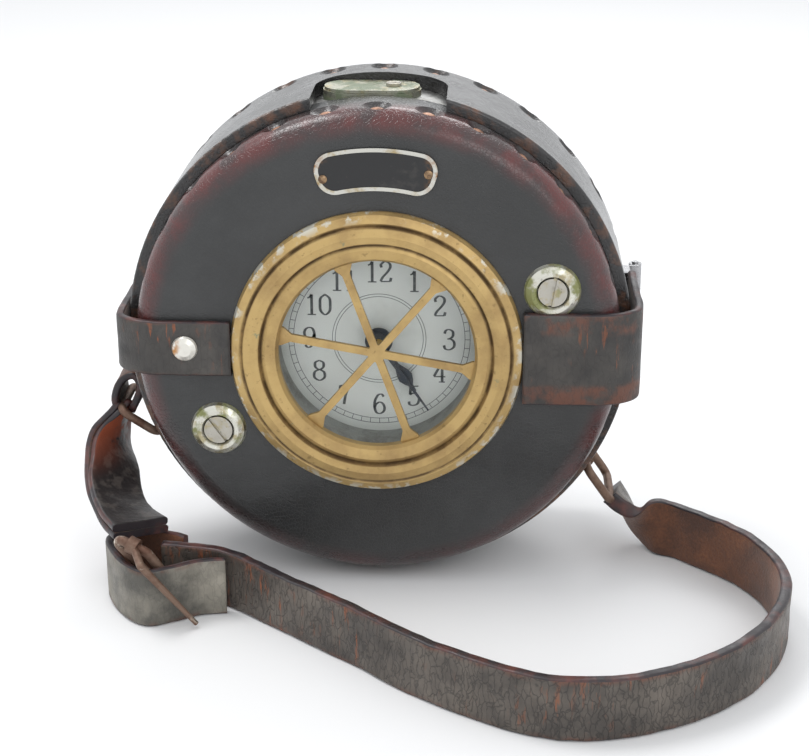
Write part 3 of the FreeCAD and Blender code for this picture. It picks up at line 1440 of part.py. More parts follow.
left_ring_bar = polar(float(S["ring_reach"]) + wire, float(S["left_ring_angle"]) + left_lean,
                      *polar(lug_out + 0.6, S["left_ring_angle"]))
right_ring_bar = polar(float(S["ring_reach"]) + wire, float(S["right_ring_angle"]) + right_lean,
                       *polar(lug_out + 0.6, S["right_ring_angle"]))
ring_y = float(S["ring_depth"])
end_leather = float(S["end_leather"])
eye_width = float(S["ring_inside"]) - 1.4
eye_hole = wire + 0.5
eye_out = eye_hole + end_leather
two_layers = 2 * end_leather + 0.4


# A strap end folded loosely round a ring bar: an oblong eye from the bar to a second centre
def strap_eye(bar, far):
    front = ring_y - eye_width / 2
    back = ring_y + eye_width / 2
    along = Vector(far[0] - bar[0], 0, far[1] - bar[1])
    made = []
    for radius in (eye_out, eye_hole):
        side = Vector(-along.z, 0, along.x).normalize() * radius
        corners = [(bar[0] + side.x, bar[1] + side.z), (far[0] + side.x, far[1] + side.z),
                   (far[0] - side.x, far[1] - side.z), (bar[0] - side.x, bar[1] - side.z)]
        web = raised(flat_face(corners), front, back)
        oblong = disc(radius, front, back, *bar).fuse(disc(radius, front, back, *far)).fuse(web)
        made.append(oblong.removeSplitter())
    return made


left_eye_top = polar(float(S["band_radius"]) + eye_out + 1.0, float(S["left_ring_angle"]) - 12.5)
left_eye, left_eye_hole = strap_eye(left_ring_bar, left_eye_top)
bar_x, bar_z = left_ring_bar
short_run = strap_loft([
    ((bar_x - 0.9, ring_y, bar_z - 2.0), (0, 1, 0), (-0.9, 0, 0.43), eye_width, two_layers),
    ((bar_x - 3.6, ring_y - 6, bar_z - 10), (0.3, 1, -0.3), (-1, 0.2, 0.1), eye_width, two_layers),
    ((bar_x - 2.6, ring_y - 15, bar_z - 16), (0.8, 0.8, -0.5), (-0.8, 0.5, -0.2), eye_width, two_layers),
    ((bar_x - 0.4, ring_y - 24, bar_z - 21), (0.9, 0.7, -0.4), (-0.6, 0.7, -0.5), eye_width, two_layers),
    ((bar_x + 4.6, ring_y - 33.5, bar_z - 24.0), (0.7, 0.85, -0.2), (-0.1, 0.2, -1), eye_width, two_layers),
    ((bar_x + 10.5, ring_y - 42, bar_z - 24.3), (0.7, 0.8, -0.1), (0, 0.1, -1), eye_width, two_layers),
])
short_strap = left_eye.fuse(short_run).cut(left_eye_hole).removeSplitter()
built("short_strap", short_strap)

bar_x, bar_z = right_ring_bar
right_eye_top = (bar_x + 1.2, bar_z + 2.6)
right_eye, right_eye_hole = strap_eye(right_ring_bar, right_eye_top)
end_fold = strap_loft([
    ((bar_x + 1.0, ring_y, bar_z - 1.6), (0, 1, 0), (0.86, 0, 0.5), eye_width, two_layers),
    ((bar_x + 4.5, ring_y - 1.5, bar_z - 6.0), (0.1, 1, -0.4), (0.9, 0, 0.4), eye_width, two_layers),
    ((bar_x + 9.5, ring_y - 3.5, bar_z - 9.5), (0.25, 0.7, -0.8), (0.8, 0.5, 0.2), strap_width, two_layers),
    ((85.5, 24.4, ground + strap_width / 2), (0.0, 0.02, -1), (0.7, 0.7, 0), strap_width, two_layers),
], ruled=True)
end_fold = right_eye.fuse(end_fold).cut(right_eye_hole)
built("long_strap", long_strap.fuse(end_fold).removeSplitter())

# Wire buckle: its top bar shows over the folded chape, the rest hangs inside the fold.
# The tongue has its eye on the top bar, bends over the leather and lies down in front of it.
buckle_wire = 1.4
buckle_bend = 1.9
buckle_taper = 0.75
to_world = Vector(0, -float(S["case_depth"]), 0)
buckle_right = Vector(-63.7, -26.0, -51.6) + to_world
buckle_left = Vector(-75.0, -22.5, -47.6) + to_world
buckle_foot = Vector(-65.4, -20.5, -60.5) + to_world
buckle_corners = [buckle_right, buckle_left, buckle_foot, buckle_foot + (buckle_right - buckle_left) * buckle_taper]
built("buckle_frame", wire_loop(buckle_corners, buckle_wire, buckle_bend))
tongue_wire = 1.15
tongue_tip = 0.7
tongue_eye_width = 3.0
tongue_share = 0.36
hinge_way = (buckle_corners[1] - buckle_corners[0]).normalize()
tongue_start = buckle_corners[0] + (buckle_corners[1] - buckle_corners[0]) * tongue_share
tongue_bend = Vector(-64.4, -32.6, -52.6) + to_world
tongue_end = Vector(-49.9, -29.6, -71.9) + to_world
tongue_eye = Part.makeCylinder(buckle_wire + 1.1, tongue_eye_width,
                               tongue_start - hinge_way * (tongue_eye_width / 2), hinge_way)
tongue_neck = tongue_bend - tongue_start
tongue_reach = tongue_end - tongue_bend
tongue = Part.makeCylinder(tongue_wire, tongue_neck.Length, tongue_start, tongue_neck)
tongue = tongue.fuse(Part.makeSphere(tongue_wire, tongue_bend))
tongue = tongue.fuse(Part.makeCone(tongue_wire, tongue_tip, tongue_reach.Length, tongue_bend, tongue_reach))
tongue_bore = Part.makeCylinder(buckle_wire + 0.08, 2 * tongue_eye_width,
                                tongue_start - hinge_way * tongue_eye_width, hinge_way)
built("buckle_tongue", tongue_eye.fuse(tongue).cut(tongue_bore).removeSplitter())

# Every piece has to be sound before anything is written
doc.recompute()
faults = []
for obj in doc.Objects:
    if "Invalid" in obj.State or "Error" in obj.State:
        faults.append("%s is %s" % (obj.Label, obj.State))
for label, obj in nodes.items():
    shape = obj.Shape
    if shape.isNull() or not shape.isValid() or not shape.Solids:
        faults.append("%s has no sound solid" % label)
if faults:
    raise RuntimeError("; ".join(faults))

os.makedirs("parts", exist_ok=True)
for label, obj in nodes.items():
    shape = obj.Shape.copy()
    shape.exportStep("parts/%s.step" % label)
print(len(nodes), "pieces written")
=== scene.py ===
import math

import bmesh
import bpy
from mathutils import Matrix, Vector, noise


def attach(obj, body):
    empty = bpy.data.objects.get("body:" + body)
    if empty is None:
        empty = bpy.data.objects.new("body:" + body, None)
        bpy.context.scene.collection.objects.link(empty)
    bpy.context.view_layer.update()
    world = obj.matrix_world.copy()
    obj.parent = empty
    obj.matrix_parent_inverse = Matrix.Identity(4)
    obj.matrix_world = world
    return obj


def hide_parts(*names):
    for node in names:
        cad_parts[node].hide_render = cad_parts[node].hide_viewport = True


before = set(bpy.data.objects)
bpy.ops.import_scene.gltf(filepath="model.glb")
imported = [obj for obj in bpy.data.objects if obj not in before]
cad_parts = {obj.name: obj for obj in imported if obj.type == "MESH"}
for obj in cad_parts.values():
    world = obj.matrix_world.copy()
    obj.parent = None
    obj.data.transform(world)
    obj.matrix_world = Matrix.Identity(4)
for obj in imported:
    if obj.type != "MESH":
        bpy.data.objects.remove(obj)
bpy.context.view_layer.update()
millimetre = 0.001
per_metre = 1000.0
case_depth = 58.6

# Studio: a pale floor at the level the clock stands on, one soft lamp high on the left,
# one broad low fill in front and a small lamp behind for the edges of the leather.
ground_level = -73.15 * millimetre
floor_half = 3.0
camera_place = Vector((0.03006, -0.55064, 0.18030))
camera_yaw = -0.045
camera_pitch = 0.3642
focal_pixels = 1847.05
photo_width = 809
sensor_width = 36.0


def finish_named(name):
    finish = bpy.data.materials.new(name)
    finish.use_nodes = True
    return finish, finish.node_tree, finish.node_tree.nodes["Principled BSDF"]


def new_object(name, data):
    thing = bpy.data.objects.new(name, data)
    bpy.context.scene.collection.objects.link(thing)
    return thing


def make_floor():
    mesh = bpy.data.meshes.new("studio_floor")
    corners = [(-floor_half, -floor_half, ground_level), (floor_half, -floor_half, ground_level),
               (floor_half, floor_half, ground_level), (-floor_half, floor_half, ground_level)]
    mesh.from_pydata(corners, [], [(0, 1, 2, 3)])
    floor = new_object("studio_floor", mesh)
    finish, tree, shader = finish_named("studio_floor_paint")
    shader.inputs["Base Color"].default_value = (0.79, 0.79, 0.795, 1)
    shader.inputs["Roughness"].default_value = 0.8
    shader.inputs["Specular IOR Level"].default_value = 0.1
    mesh.materials.append(finish)


def make_camera():
    ahead = Vector((math.sin(camera_yaw) * math.cos(camera_pitch),
                    math.cos(camera_yaw) * math.cos(camera_pitch), -math.sin(camera_pitch)))
    right = Vector((math.cos(camera_yaw), -math.sin(camera_yaw), 0))
    up = right.cross(ahead)
    turn = Matrix((right, up, -ahead)).transposed()
    lens = bpy.data.cameras.new("photo_camera")
    lens.sensor_width = sensor_width
    lens.lens = sensor_width * focal_pixels / photo_width
    camera = new_object("photo_camera", lens)
    camera.matrix_world = Matrix.Translation(camera_place) @ turn.to_4x4()
    bpy.context.scene.camera = camera


def make_lamp(name, place, target, size, power):
    lamp = bpy.data.lights.new(name, "AREA")
    lamp.shape = "DISK"
    lamp.size = size
    lamp.energy = power
    holder = new_object(name, lamp)
    way = Vector(target) - Vector(place)
    holder.location = place
    holder.rotation_euler = way.to_track_quat("-Z", "Y").to_euler()


def make_world():
    world = bpy.data.worlds.new("studio_air")
    world.use_nodes = True
    bpy.context.scene.world = world
    tree = world.node_tree
    air = tree.nodes["Background"]
    air.inputs["Color"].default_value = (0.97, 0.985, 1.0, 1)
    air.inputs["Strength"].default_value = 1.08
    white = tree.nodes.new("ShaderNodeBackground")
    white.inputs["Color"].default_value = (0.93, 0.935, 0.94, 1)
    white.inputs["Strength"].default_value = 1.0
    path = tree.nodes.new("ShaderNodeLightPath")
    mix = tree.nodes.new("ShaderNodeMixShader")
    tree.links.new(path.outputs["Is Camera Ray"], mix.inputs[0])
    tree.links.new(air.outputs[0], mix.inputs[1])
    tree.links.new(white.outputs[0], mix.inputs[2])
    tree.links.new(mix.outputs[0], tree.nodes["World Output"].inputs["Surface"])


make_floor()
make_camera()
make_world()
make_lamp("key_lamp", (-0.35, 0.05, 0.75), (0, -0.03, 0), 0.34, 2.6)
make_lamp("front_lamp", (0.45, -0.8, 0.55), (0, -0.03, 0), 0.6, 1.5)
make_lamp("back_lamp", (0.1, 0.7, 0.6), (0, 0, 0), 0.4, 1.6)
bpy.context.scene.view_settings.view_transform = "Standard"

# Drum can and rear lid: thin tinned steel, spun to shape, dull grey with faint spinning lines.
# They show at the joint behind the leather band and inside the case when the lid is open.


def node_in(tree, kind, **settings):
    node = tree.nodes.new(kind)
    for key, value in settings.items():
        setattr(node, key, value)
    return node


def number(tree, operation, first, second=None, third=None, clamp=False):
    node = node_in(tree, "ShaderNodeMath", operation=operation, use_clamp=clamp)
    for index, value in enumerate((first, second, third)):
        if value is None:
            continue
        if isinstance(value, (int, float)):
            node.inputs[index].default_value = value
        else:
            tree.links.new(value, node.inputs[index])
    return node.outputs[0]


def spread(tree, value, low, high, to_low=0.0, to_high=1.0):
    node = node_in(tree, "ShaderNodeMapRange", interpolation_type="SMOOTHSTEP")
    tree.links.new(value, node.inputs["Value"])
    node.inputs["From Min"].default_value = low
    node.inputs["From Max"].default_value = high
    node.inputs["To Min"].default_value = to_low
    node.inputs["To Max"].default_value = to_high
    return node.outputs["Result"]


def colours(tree, mask, first, second):
    node = node_in(tree, "ShaderNodeMix", data_type="RGBA")
    tree.links.new(mask, node.inputs[0])
    for index, value in ((6, first), (7, second)):
        if isinstance(value, tuple):
            node.inputs[index].default_value = (*value, 1)
        else:
            tree.links.new(value, node.inputs[index])
    return node.outputs[2]


def object_place(tree):
    return node_in(tree, "ShaderNodeTexCoord").outputs["Object"]


def split_place(tree, place):
    node = node_in(tree, "ShaderNodeSeparateXYZ")
    tree.links.new(place, node.inputs[0])
    return node.outputs


def feed(shader, name, value):
    shader.id_data.links.new(value, shader.inputs[name])


def group_with(name, inputs, outputs):
    tree = bpy.data.node_groups.new(name, "ShaderNodeTree")
    for label, kind, value in inputs:
        socket = tree.interface.new_socket(name=label, in_out="INPUT", socket_type=kind)
        if value is not None:
            socket.default_value = value
    for label, kind in outputs:
        tree.interface.new_socket(name=label, in_out="OUTPUT", socket_type=kind)
    return tree, tree.nodes.new("NodeGroupInput"), tree.nodes.new("NodeGroupOutput")


def patches_group():
    tree, given, result = group_with(
        "worn_patches",
        [("Place", "NodeSocketVector", None), ("Scale", "NodeSocketFloat", 60.0),
         ("Level", "NodeSocketFloat", 0.55), ("Softness", "NodeSocketFloat", 0.08),
         ("Seed", "NodeSocketFloat", 0.0)],
        [("Mask", "NodeSocketFloat")])
    blotch = node_in(tree, "ShaderNodeTexNoise", noise_dimensions="4D")
    blotch.inputs["Detail"].default_value = 6.0
    blotch.inputs["Roughness"].default_value = 0.62
    tree.links.new(given.outputs["Place"], blotch.inputs["Vector"])
    tree.links.new(given.outputs["Scale"], blotch.inputs["Scale"])
    tree.links.new(given.outputs["Seed"], blotch.inputs["W"])
    above = number(tree, "SUBTRACT", blotch.outputs["Fac"], given.outputs["Level"])
    mask = number(tree, "DIVIDE", above, given.outputs["Softness"], clamp=True)
    tree.links.new(mask, result.inputs["Mask"])
    return tree


def case_place_group():
    tree, given, result = group_with(
        "place_on_case",
        [("Place", "NodeSocketVector", None)],
        [("Radius", "NodeSocketFloat"), ("Depth", "NodeSocketFloat"), ("Angle", "NodeSocketFloat")])
    split = split_place(tree, given.outputs["Place"])
    x_square = number(tree, "MULTIPLY", split["X"], split["X"])
    radius = number(tree, "SQRT", number(tree, "MULTIPLY_ADD", split["Z"], split["Z"], x_square))
    depth = number(tree, "MULTIPLY_ADD", split["Y"], per_metre, case_depth)
    angle = number(tree, "ARCTAN2", split["Z"], split["X"])
    tree.links.new(number(tree, "MULTIPLY", radius, per_metre), result.inputs["Radius"])
    tree.links.new(depth, result.inputs["Depth"])
    tree.links.new(angle, result.inputs["Angle"])
    return tree


worn_patches = patches_group()
place_on_case = case_place_group()


def patches(tree, place, scale, level, softness, seed=0.0):
    node = node_in(tree, "ShaderNodeGroup", node_tree=worn_patches)
    tree.links.new(place, node.inputs["Place"])
    for label, value in (("Scale", scale), ("Level", level), ("Softness", softness), ("Seed", seed)):
        node.inputs[label].default_value = value
    return node.outputs["Mask"]


def on_case(tree, place):
    node = node_in(tree, "ShaderNodeGroup", node_tree=place_on_case)
    tree.links.new(place, node.inputs["Place"])
    return node.outputs["Radius"], node.outputs["Depth"], node.outputs["Angle"]


def bump(tree, shader, height, distance, strength=1.0):
    node = node_in(tree, "ShaderNodeBump")
    node.inputs["Distance"].default_value = distance
    node.inputs["Strength"].default_value = strength
    tree.links.new(height, node.inputs["Height"])
    feed(shader, "Normal", node.outputs["Normal"])


def fine_noise(tree, place, scale, detail=4.0, roughness=0.6):
    node = node_in(tree, "ShaderNodeTexNoise")
    node.inputs["Scale"].default_value = scale
    node.inputs["Detail"].default_value = detail
    node.inputs["Roughness"].default_value = roughness
    tree.links.new(place, node.inputs["Vector"])
    return node.outputs["Fac"]


def uneven_gloss(tree, shader, noise_value, low, high):
    feed(shader, "Roughness", spread(tree, noise_value, 0.3, 0.7, low, high))


def metal_finish(name, clean, dull, rough, metallic=1.0, dull_scale=120.0, dull_level=0.5, ring_lines=0.0):
    finish, tree, shader = finish_named(name)
    place = object_place(tree)
    dulled = patches(tree, place, dull_scale, dull_level, 0.16)
    feed(shader, "Base Color", colours(tree, dulled, clean, dull))
    shader.inputs["Metallic"].default_value = metallic
    rough_noise = fine_noise(tree, place, 900.0)
    uneven_gloss(tree, shader, rough_noise, rough - 0.08, rough + 0.12)
    height = rough_noise
    if ring_lines:
        radius = on_case(tree, place)[0]
        rings = number(tree, "SINE", number(tree, "MULTIPLY", radius, ring_lines))
        height = number(tree, "MULTIPLY_ADD", rings, 0.5, rough_noise)
    bump(tree, shader, height, 0.00004, 0.35)
    return finish


def dress(finish, *names):
    for name in names:
        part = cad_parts[name]
        if part.data.materials:
            part.data.materials[0] = finish
        else:
            part.data.materials.append(finish)


tin_plate = metal_finish("dull_tin_plate", (0.42, 0.42, 0.41), (0.26, 0.25, 0.23), 0.42, ring_lines=9.0)
dress(tin_plate, "case_drum", "rear_cover", "dial_ring")

# Leather case: a moulded front cup with a rolled rim, a plain rear cup and the band sewn round the drum.
# The hide is dyed black, polished by handling, and its rims are worn through to an oxblood red; round the
# front rim the red is painted stronger towards the top as a painted highlight, and weaker below as painted
# shade.


def leather_finish(name, hide, worn, wear_mask, gloss):
    finish, tree, shader = finish_named(name)
    place = object_place(tree)
    radius, depth, angle = on_case(tree, place)
    cloud = patches(tree, place, 34.0, 0.42, 0.3, 2.0)
    dusty_hide = tuple(value * 1.75 for value in hide)
    base = colours(tree, cloud, hide, dusty_hide)
    # For the cups this mask is real rim wear plus a painted highlight on the upper side; for the band it is
    # wear only.
    rubbed = wear_mask(tree, place, radius, depth, angle)
    colour = colours(tree, rubbed, base, worn)
    scuffs = patches(tree, place, 420.0, 0.66, 0.05, 5.0)
    scuffs = number(tree, "MULTIPLY", scuffs, patches(tree, place, 40.0, 0.52, 0.12, 9.0))
    scuff_grey = (0.16, 0.15, 0.14)
    colour = colours(tree, number(tree, "MULTIPLY", scuffs, 0.45), colour, scuff_grey)
    feed(shader, "Base Color", colour)
    cells = node_in(tree, "ShaderNodeTexVoronoi", feature="DISTANCE_TO_EDGE")
    cells.inputs["Scale"].default_value = 950.0
    tree.links.new(place, cells.inputs["Vector"])
    pores = spread(tree, cells.outputs["Distance"], 0.0, 0.12)
    soft_dents = fine_noise(tree, place, 70.0, 3.0)
    height = number(tree, "MULTIPLY_ADD", soft_dents, 9.0, pores)
    height = number(tree, "MULTIPLY_ADD", fine_noise(tree, place, 320.0, 5.0), 2.2, height)
    bump(tree, shader, height, 0.00010, 0.55)
    polish = spread(tree, fine_noise(tree, place, 55.0, 5.0), 0.3, 0.72, gloss - 0.07, gloss + 0.14)
    handled_rim = spread(tree, radius, 60.0, 66.0, 1.0, 0.62)
    feed(shader, "Roughness", number(tree, "MULTIPLY", polish, handled_rim))
    shader.inputs["Specular IOR Level"].default_value = 0.5
    shader.inputs["Coat Weight"].default_value = 0.3
    shader.inputs["Coat Roughness"].default_value = 0.22
    return finish


def cup_wear(tree, place, radius, depth, angle):
    near_rim = spread(tree, radius, 61.5, 67.5)
    on_front = spread(tree, depth, 14.0, 4.0)
    # The oxblood is painted stronger on the upper side of the rim as a painted highlight, and weaker below as
    # painted shade.
    lit_top_painted = spread(tree, number(tree, "SINE", angle), -0.9, 0.5, 0.45, 1.0)
    broken = spread(tree, fine_noise(tree, place, 90.0, 6.0), 0.36, 0.62, 0.25, 1.0)
    return number(tree, "MULTIPLY", number(tree, "MULTIPLY", near_rim, on_front),
                  number(tree, "MULTIPLY", lit_top_painted, broken))


def band_wear(tree, place, radius, depth, angle):
    edges = number(tree, "ADD", spread(tree, depth, 14.5, 12.0), spread(tree, depth, 47.6, 50.0), clamp=True)
    broken = patches(tree, place, 120.0, 0.5, 0.12, 3.0)
    return number(tree, "MULTIPLY", edges, broken)


cup_black = (0.019, 0.0198, 0.0202)
oxblood = (0.095, 0.018, 0.017)
band_black = (0.017, 0.0165, 0.017)
rubbed_brown = (0.11, 0.05, 0.028)
cup_leather = leather_finish("black_oxblood_leather", cup_black, oxblood, cup_wear, 0.38)
band_leather = leather_finish("dark_band_leather", band_black, rubbed_brown, band_wear, 0.36)
dress(cup_leather, "front_leather_cup", "rear_leather_cup")
dress(band_leather, "side_band")

# Rivets: copper heads set in pressed dimples round both edges of the band.
# Their colour runs from brown to a rubbed coppery pink.
copper = metal_finish("brown_copper", (0.42, 0.23, 0.15), (0.13, 0.07, 0.05), 0.45, 0.6, 260.0, 0.47)
dress(copper, "case_rivets")

# Window: a turned brass bezel, once nickelled, and a pierced star of brass bars over the glass.
# Nickel remains as pale flecks on the outer roll, and green copper salts sit in the corners.
outer_groove = 38.3
inner_groove = 32.9
rubbed_brass = (0.53, 0.37, 0.155)
tarnished_brass = (0.37, 0.245, 0.105)
brass_speckle = (0.16, 0.10, 0.045)
nickel_fleck = (0.60, 0.58, 0.50)
groove_dirt = (0.09, 0.055, 0.03)
copper_green = (0.10, 0.17, 0.115)


def brass_finish(name, rings=True):
    finish, tree, shader = finish_named(name)
    place = object_place(tree)
    radius = on_case(tree, place)[0]
    tarnish = patches(tree, place, 85.0, 0.44, 0.24, 1.0)
    colour = colours(tree, tarnish, rubbed_brass, tarnished_brass)
    speckle = patches(tree, place, 640.0, 0.6, 0.08, 4.0)
    colour = colours(tree, number(tree, "MULTIPLY", speckle, 0.5), colour, brass_speckle)
    if rings:
        outer = spread(tree, radius, 38.6, 41.4)
        flecks = number(tree, "MULTIPLY", outer, patches(tree, place, 210.0, 0.52, 0.05, 6.0))
        colour = colours(tree, flecks, colour, nickel_fleck)
        first = number(tree, "ABSOLUTE", number(tree, "SUBTRACT", radius, outer_groove))
        second = number(tree, "ABSOLUTE", number(tree, "SUBTRACT", radius, inner_groove))
        dirt = spread(tree, number(tree, "MINIMUM", first, second), 0.9, 0.15)
        broken = spread(tree, fine_noise(tree, place, 150.0), 0.3, 0.6, 0.35, 0.9)
        colour = colours(tree, number(tree, "MULTIPLY", dirt, broken), colour, groove_dirt)
    green = number(tree, "MULTIPLY", patches(tree, place, 130.0, 0.66, 0.05, 8.0), 0.75)
    colour = colours(tree, green, colour, copper_green)
    feed(shader, "Base Color", colour)
    feed(shader, "Metallic", spread(tree, green, 0.0, 0.6, 0.72, 0.15))
    rough = fine_noise(tree, place, 240.0, 5.0)
    uneven_gloss(tree, shader, rough, 0.36, 0.56)
    turned = number(tree, "SINE", number(tree, "MULTIPLY", radius, 26.0))
    height = number(tree, "MULTIPLY_ADD", turned, 0.25, number(tree, "MULTIPLY", rough, 2.0))
    bump(tree, shader, height, 0.00005, 0.5)
    return finish


bezel_brass = brass_finish("old_bezel_brass")
guard_brass = brass_finish("old_guard_brass", rings=False)
dress(bezel_brass, "bezel")
dress(guard_brass, "window_guard")

# Window glass: a flat round pane, clear, with a faint film of dust.
# It is held between the bezel and the leather, under the guard.


def glass_finish():
    finish, tree, shader = finish_named("clear_window_glass")
    shader.inputs["Base Color"].default_value = (0.97, 0.985, 0.98, 1)
    shader.inputs["Metallic"].default_value = 0.0
    shader.inputs["Transmission Weight"].default_value = 1.0
    shader.inputs["IOR"].default_value = 1.12
    place = object_place(tree)
    film = fine_noise(tree, place, 140.0, 5.0)
    feed(shader, "Roughness", spread(tree, film, 0.45, 0.8, 0.0, 0.12))
    return finish


dress(glass_finish(), "glass")

# Dial: a silvered plate with black printed figures one to twelve, two thin circles and a railway
# minute track. The figures and lines are thin raised ink just in front of the plate.
dial_depth = 12.5
dial_face = (dial_depth - case_depth) * millimetre
ink_lift = 0.03 * millimetre
ink_thickness = 0.02 * millimetre
figure_circle = 20.3 * millimetre
figure_height = 6.4 * millimetre
track_outer = 26.4 * millimetre
track_inner = 24.9 * millimetre
seconds_circle = 13.6 * millimetre


def dial_finish():
    finish, tree, shader = finish_named("silvered_dial_plate")
    place = object_place(tree)
    radius = on_case(tree, place)[0]
    silvering, greyed = (0.80, 0.82, 0.80), (0.66, 0.68, 0.655)
    rim_grey, spot_brown = (0.52, 0.54, 0.50), (0.22, 0.21, 0.18)
    aged = patches(tree, place, 70.0, 0.5, 0.25, 3.0)
    colour = colours(tree, aged, silvering, greyed)
    rim = spread(tree, radius, 24.5, 30.5, 0.0, 0.6)
    colour = colours(tree, rim, colour, rim_grey)
    spots = patches(tree, place, 900.0, 0.7, 0.04, 7.0)
    colour = colours(tree, number(tree, "MULTIPLY", spots, 0.5), colour, spot_brown)
    feed(shader, "Base Color", colour)
    shader.inputs["Metallic"].default_value = 0.12
    uneven_gloss(tree, shader, fine_noise(tree, place, 700.0), 0.42, 0.6)
    return finish


def ink_finish():
    finish, tree, shader = finish_named("dial_ink")
    place = object_place(tree)
    faded = patches(tree, place, 800.0, 0.5, 0.2, 1.0)
    feed(shader, "Base Color", colours(tree, faded, (0.10, 0.11, 0.115), (0.20, 0.21, 0.21)))
    shader.inputs["Roughness"].default_value = 0.7
    return finish


dial_ink = ink_finish()
dress(dial_finish(), "dial")


def flat_ring(name, inner, outer, steps=120):
    mesh = bpy.data.meshes.new(name)
    shape = bmesh.new()
    loops = []
    for radius, lift in ((inner, 0), (inner, 1), (outer, 1), (outer, 0)):
        y = dial_face - ink_lift - lift * ink_thickness
        loops.append([shape.verts.new((radius * math.cos(turn), y, radius * math.sin(turn)))
                      for turn in (math.tau * step / steps for step in range(steps))])
    for index in range(4):
        first, second = loops[index], loops[(index + 1) % 4]
        for step in range(steps):
            ahead = (step + 1) % steps
            shape.faces.new((first[step], first[ahead], second[ahead], second[step]))
    bmesh.ops.recalc_face_normals(shape, faces=shape.faces)
    shape.to_mesh(mesh)
    shape.free()
    mesh.materials.append(dial_ink)
    return new_object(name, mesh)


# Each digit is drawn in a box one unit high with a broad pen: upright strokes are thick, level ones thin.
digit_strokes = {
    "0": [[(0.30, 0.98), (0.10, 0.80), (0.07, 0.50), (0.10, 0.20), (0.30, 0.02), (0.50, 0.20), (0.53, 0.50),
           (0.50, 0.80), (0.30, 0.98)]],
    "1": [[(0.12, 0.80), (0.24, 0.86), (0.31, 0.97)], [(0.31, 0.97), (0.31, 0.03)],
          [(0.12, 0.02), (0.50, 0.02)]],
    "2": [[(0.11, 0.70), (0.09, 0.84), (0.26, 0.98), (0.46, 0.90), (0.50, 0.72), (0.38, 0.50), (0.16, 0.24),
           (0.07, 0.05)], [(0.07, 0.04), (0.50, 0.05)], [(0.50, 0.05), (0.54, 0.22)]],
    "3": [[(0.09, 0.78), (0.15, 0.93), (0.30, 0.98), (0.46, 0.88), (0.46, 0.66), (0.32, 0.54), (0.22, 0.53)],
          [(0.22, 0.53), (0.40, 0.51), (0.53, 0.36), (0.51, 0.14), (0.32, 0.01), (0.13, 0.05), (0.07, 0.22)]],
    "4": [[(0.42, 0.98), (0.05, 0.30)], [(0.04, 0.28), (0.57, 0.28)], [(0.42, 0.98), (0.42, 0.03)],
          [(0.27, 0.02), (0.55, 0.02)]],
    "5": [[(0.15, 0.95), (0.50, 0.96)], [(0.15, 0.95), (0.12, 0.54)],
          [(0.12, 0.54), (0.26, 0.61), (0.44, 0.54), (0.53, 0.34), (0.46, 0.10), (0.26, 0.01), (0.10, 0.06),
           (0.07, 0.20)]],
    "6": [[(0.49, 0.84), (0.40, 0.96), (0.24, 0.92), (0.10, 0.66), (0.07, 0.34), (0.15, 0.07), (0.32, 0.01),
           (0.48, 0.11), (0.53, 0.30), (0.45, 0.50), (0.30, 0.57), (0.14, 0.46), (0.08, 0.32)]],
    "7": [[(0.07, 0.78), (0.09, 0.94)], [(0.09, 0.94), (0.54, 0.95)],
          [(0.54, 0.95), (0.34, 0.52), (0.25, 0.02)]],
    "8": [[(0.30, 0.98), (0.12, 0.88), (0.12, 0.66), (0.30, 0.54), (0.48, 0.66), (0.48, 0.88), (0.30, 0.98)],
          [(0.30, 0.54), (0.09, 0.42), (0.07, 0.16), (0.30, 0.01), (0.53, 0.16), (0.51, 0.42), (0.30, 0.54)]],
}
digit_strokes["9"] = [[(0.60 - x, 0.99 - z) for x, z in digit_strokes["6"][0]]]
pen_thick = 0.125
pen_thin = 0.055
digit_step = 0.62


def pen_line(points, steps=7):
    if len(points) == 2:
        return [Vector(points[0]), Vector(points[1])]
    line = []
    last = len(points) - 1
    for index in range(last):
        a, b, c, d = (Vector(points[max(0, min(last, index + shift))]) for shift in (-1, 0, 1, 2))
        for step in range(steps):
            t = step / steps
            line.append(0.5 * (2 * b + (c - a) * t + (2 * a - 5 * b + 4 * c - d) * t * t
                               + (3 * b - a - 3 * c + d) * t ** 3))
    line.append(Vector(points[last]))
    return line


def pen_stroke(shape, points, origin, scale):
    line = pen_line(points)
    rows = []
    for index, point in enumerate(line):
        way = line[min(index + 1, len(line) - 1)] - line[max(index - 1, 0)]
        way.normalize()
        width = pen_thin + (pen_thick - pen_thin) * abs(way.y) ** 1.5
        side = Vector((-way.y, way.x)) * width / 2
        row = []
        for edge, lift in ((side, 0), (side, 1), (-side, 1), (-side, 0)):
            place = (point + edge - Vector((0, 0.5))) * scale
            front = origin.y - lift * ink_thickness
            row.append(shape.verts.new((origin.x + place.x, front, origin.z + place.y)))
        rows.append(row)
    for first, second in zip(rows, rows[1:]):
        for edge in range(4):
            ahead = (edge + 1) % 4
            shape.faces.new((first[edge], first[ahead], second[ahead], second[edge]))
    shape.faces.new(rows[0])
    shape.faces.new(rows[-1])


def printed_figure(value):
    turn = math.radians(90 - 30 * value)
    text = str(value)
    width = (digit_step * (len(text) - 1) + 0.6) * figure_height
    shape = bmesh.new()
    for index, digit in enumerate(text):
        left = figure_circle * math.cos(turn) - width / 2 + index * digit_step * figure_height
        origin = Vector((left, dial_face - ink_lift, figure_circle * math.sin(turn)))
        for stroke in digit_strokes[digit]:
            pen_stroke(shape, stroke, origin, figure_height)
    bmesh.ops.recalc_face_normals(shape, faces=shape.faces)
    mesh = bpy.data.meshes.new("figure")
    shape.to_mesh(mesh)
    shape.free()
    return mesh


def joined(name, things):
    bpy.ops.object.select_all(action="DESELECT")
    for thing in things:
        thing.select_set(True)
    bpy.context.view_layer.objects.active = things[0]
    bpy.ops.object.join()
    things[0].name = name
    return things[0]


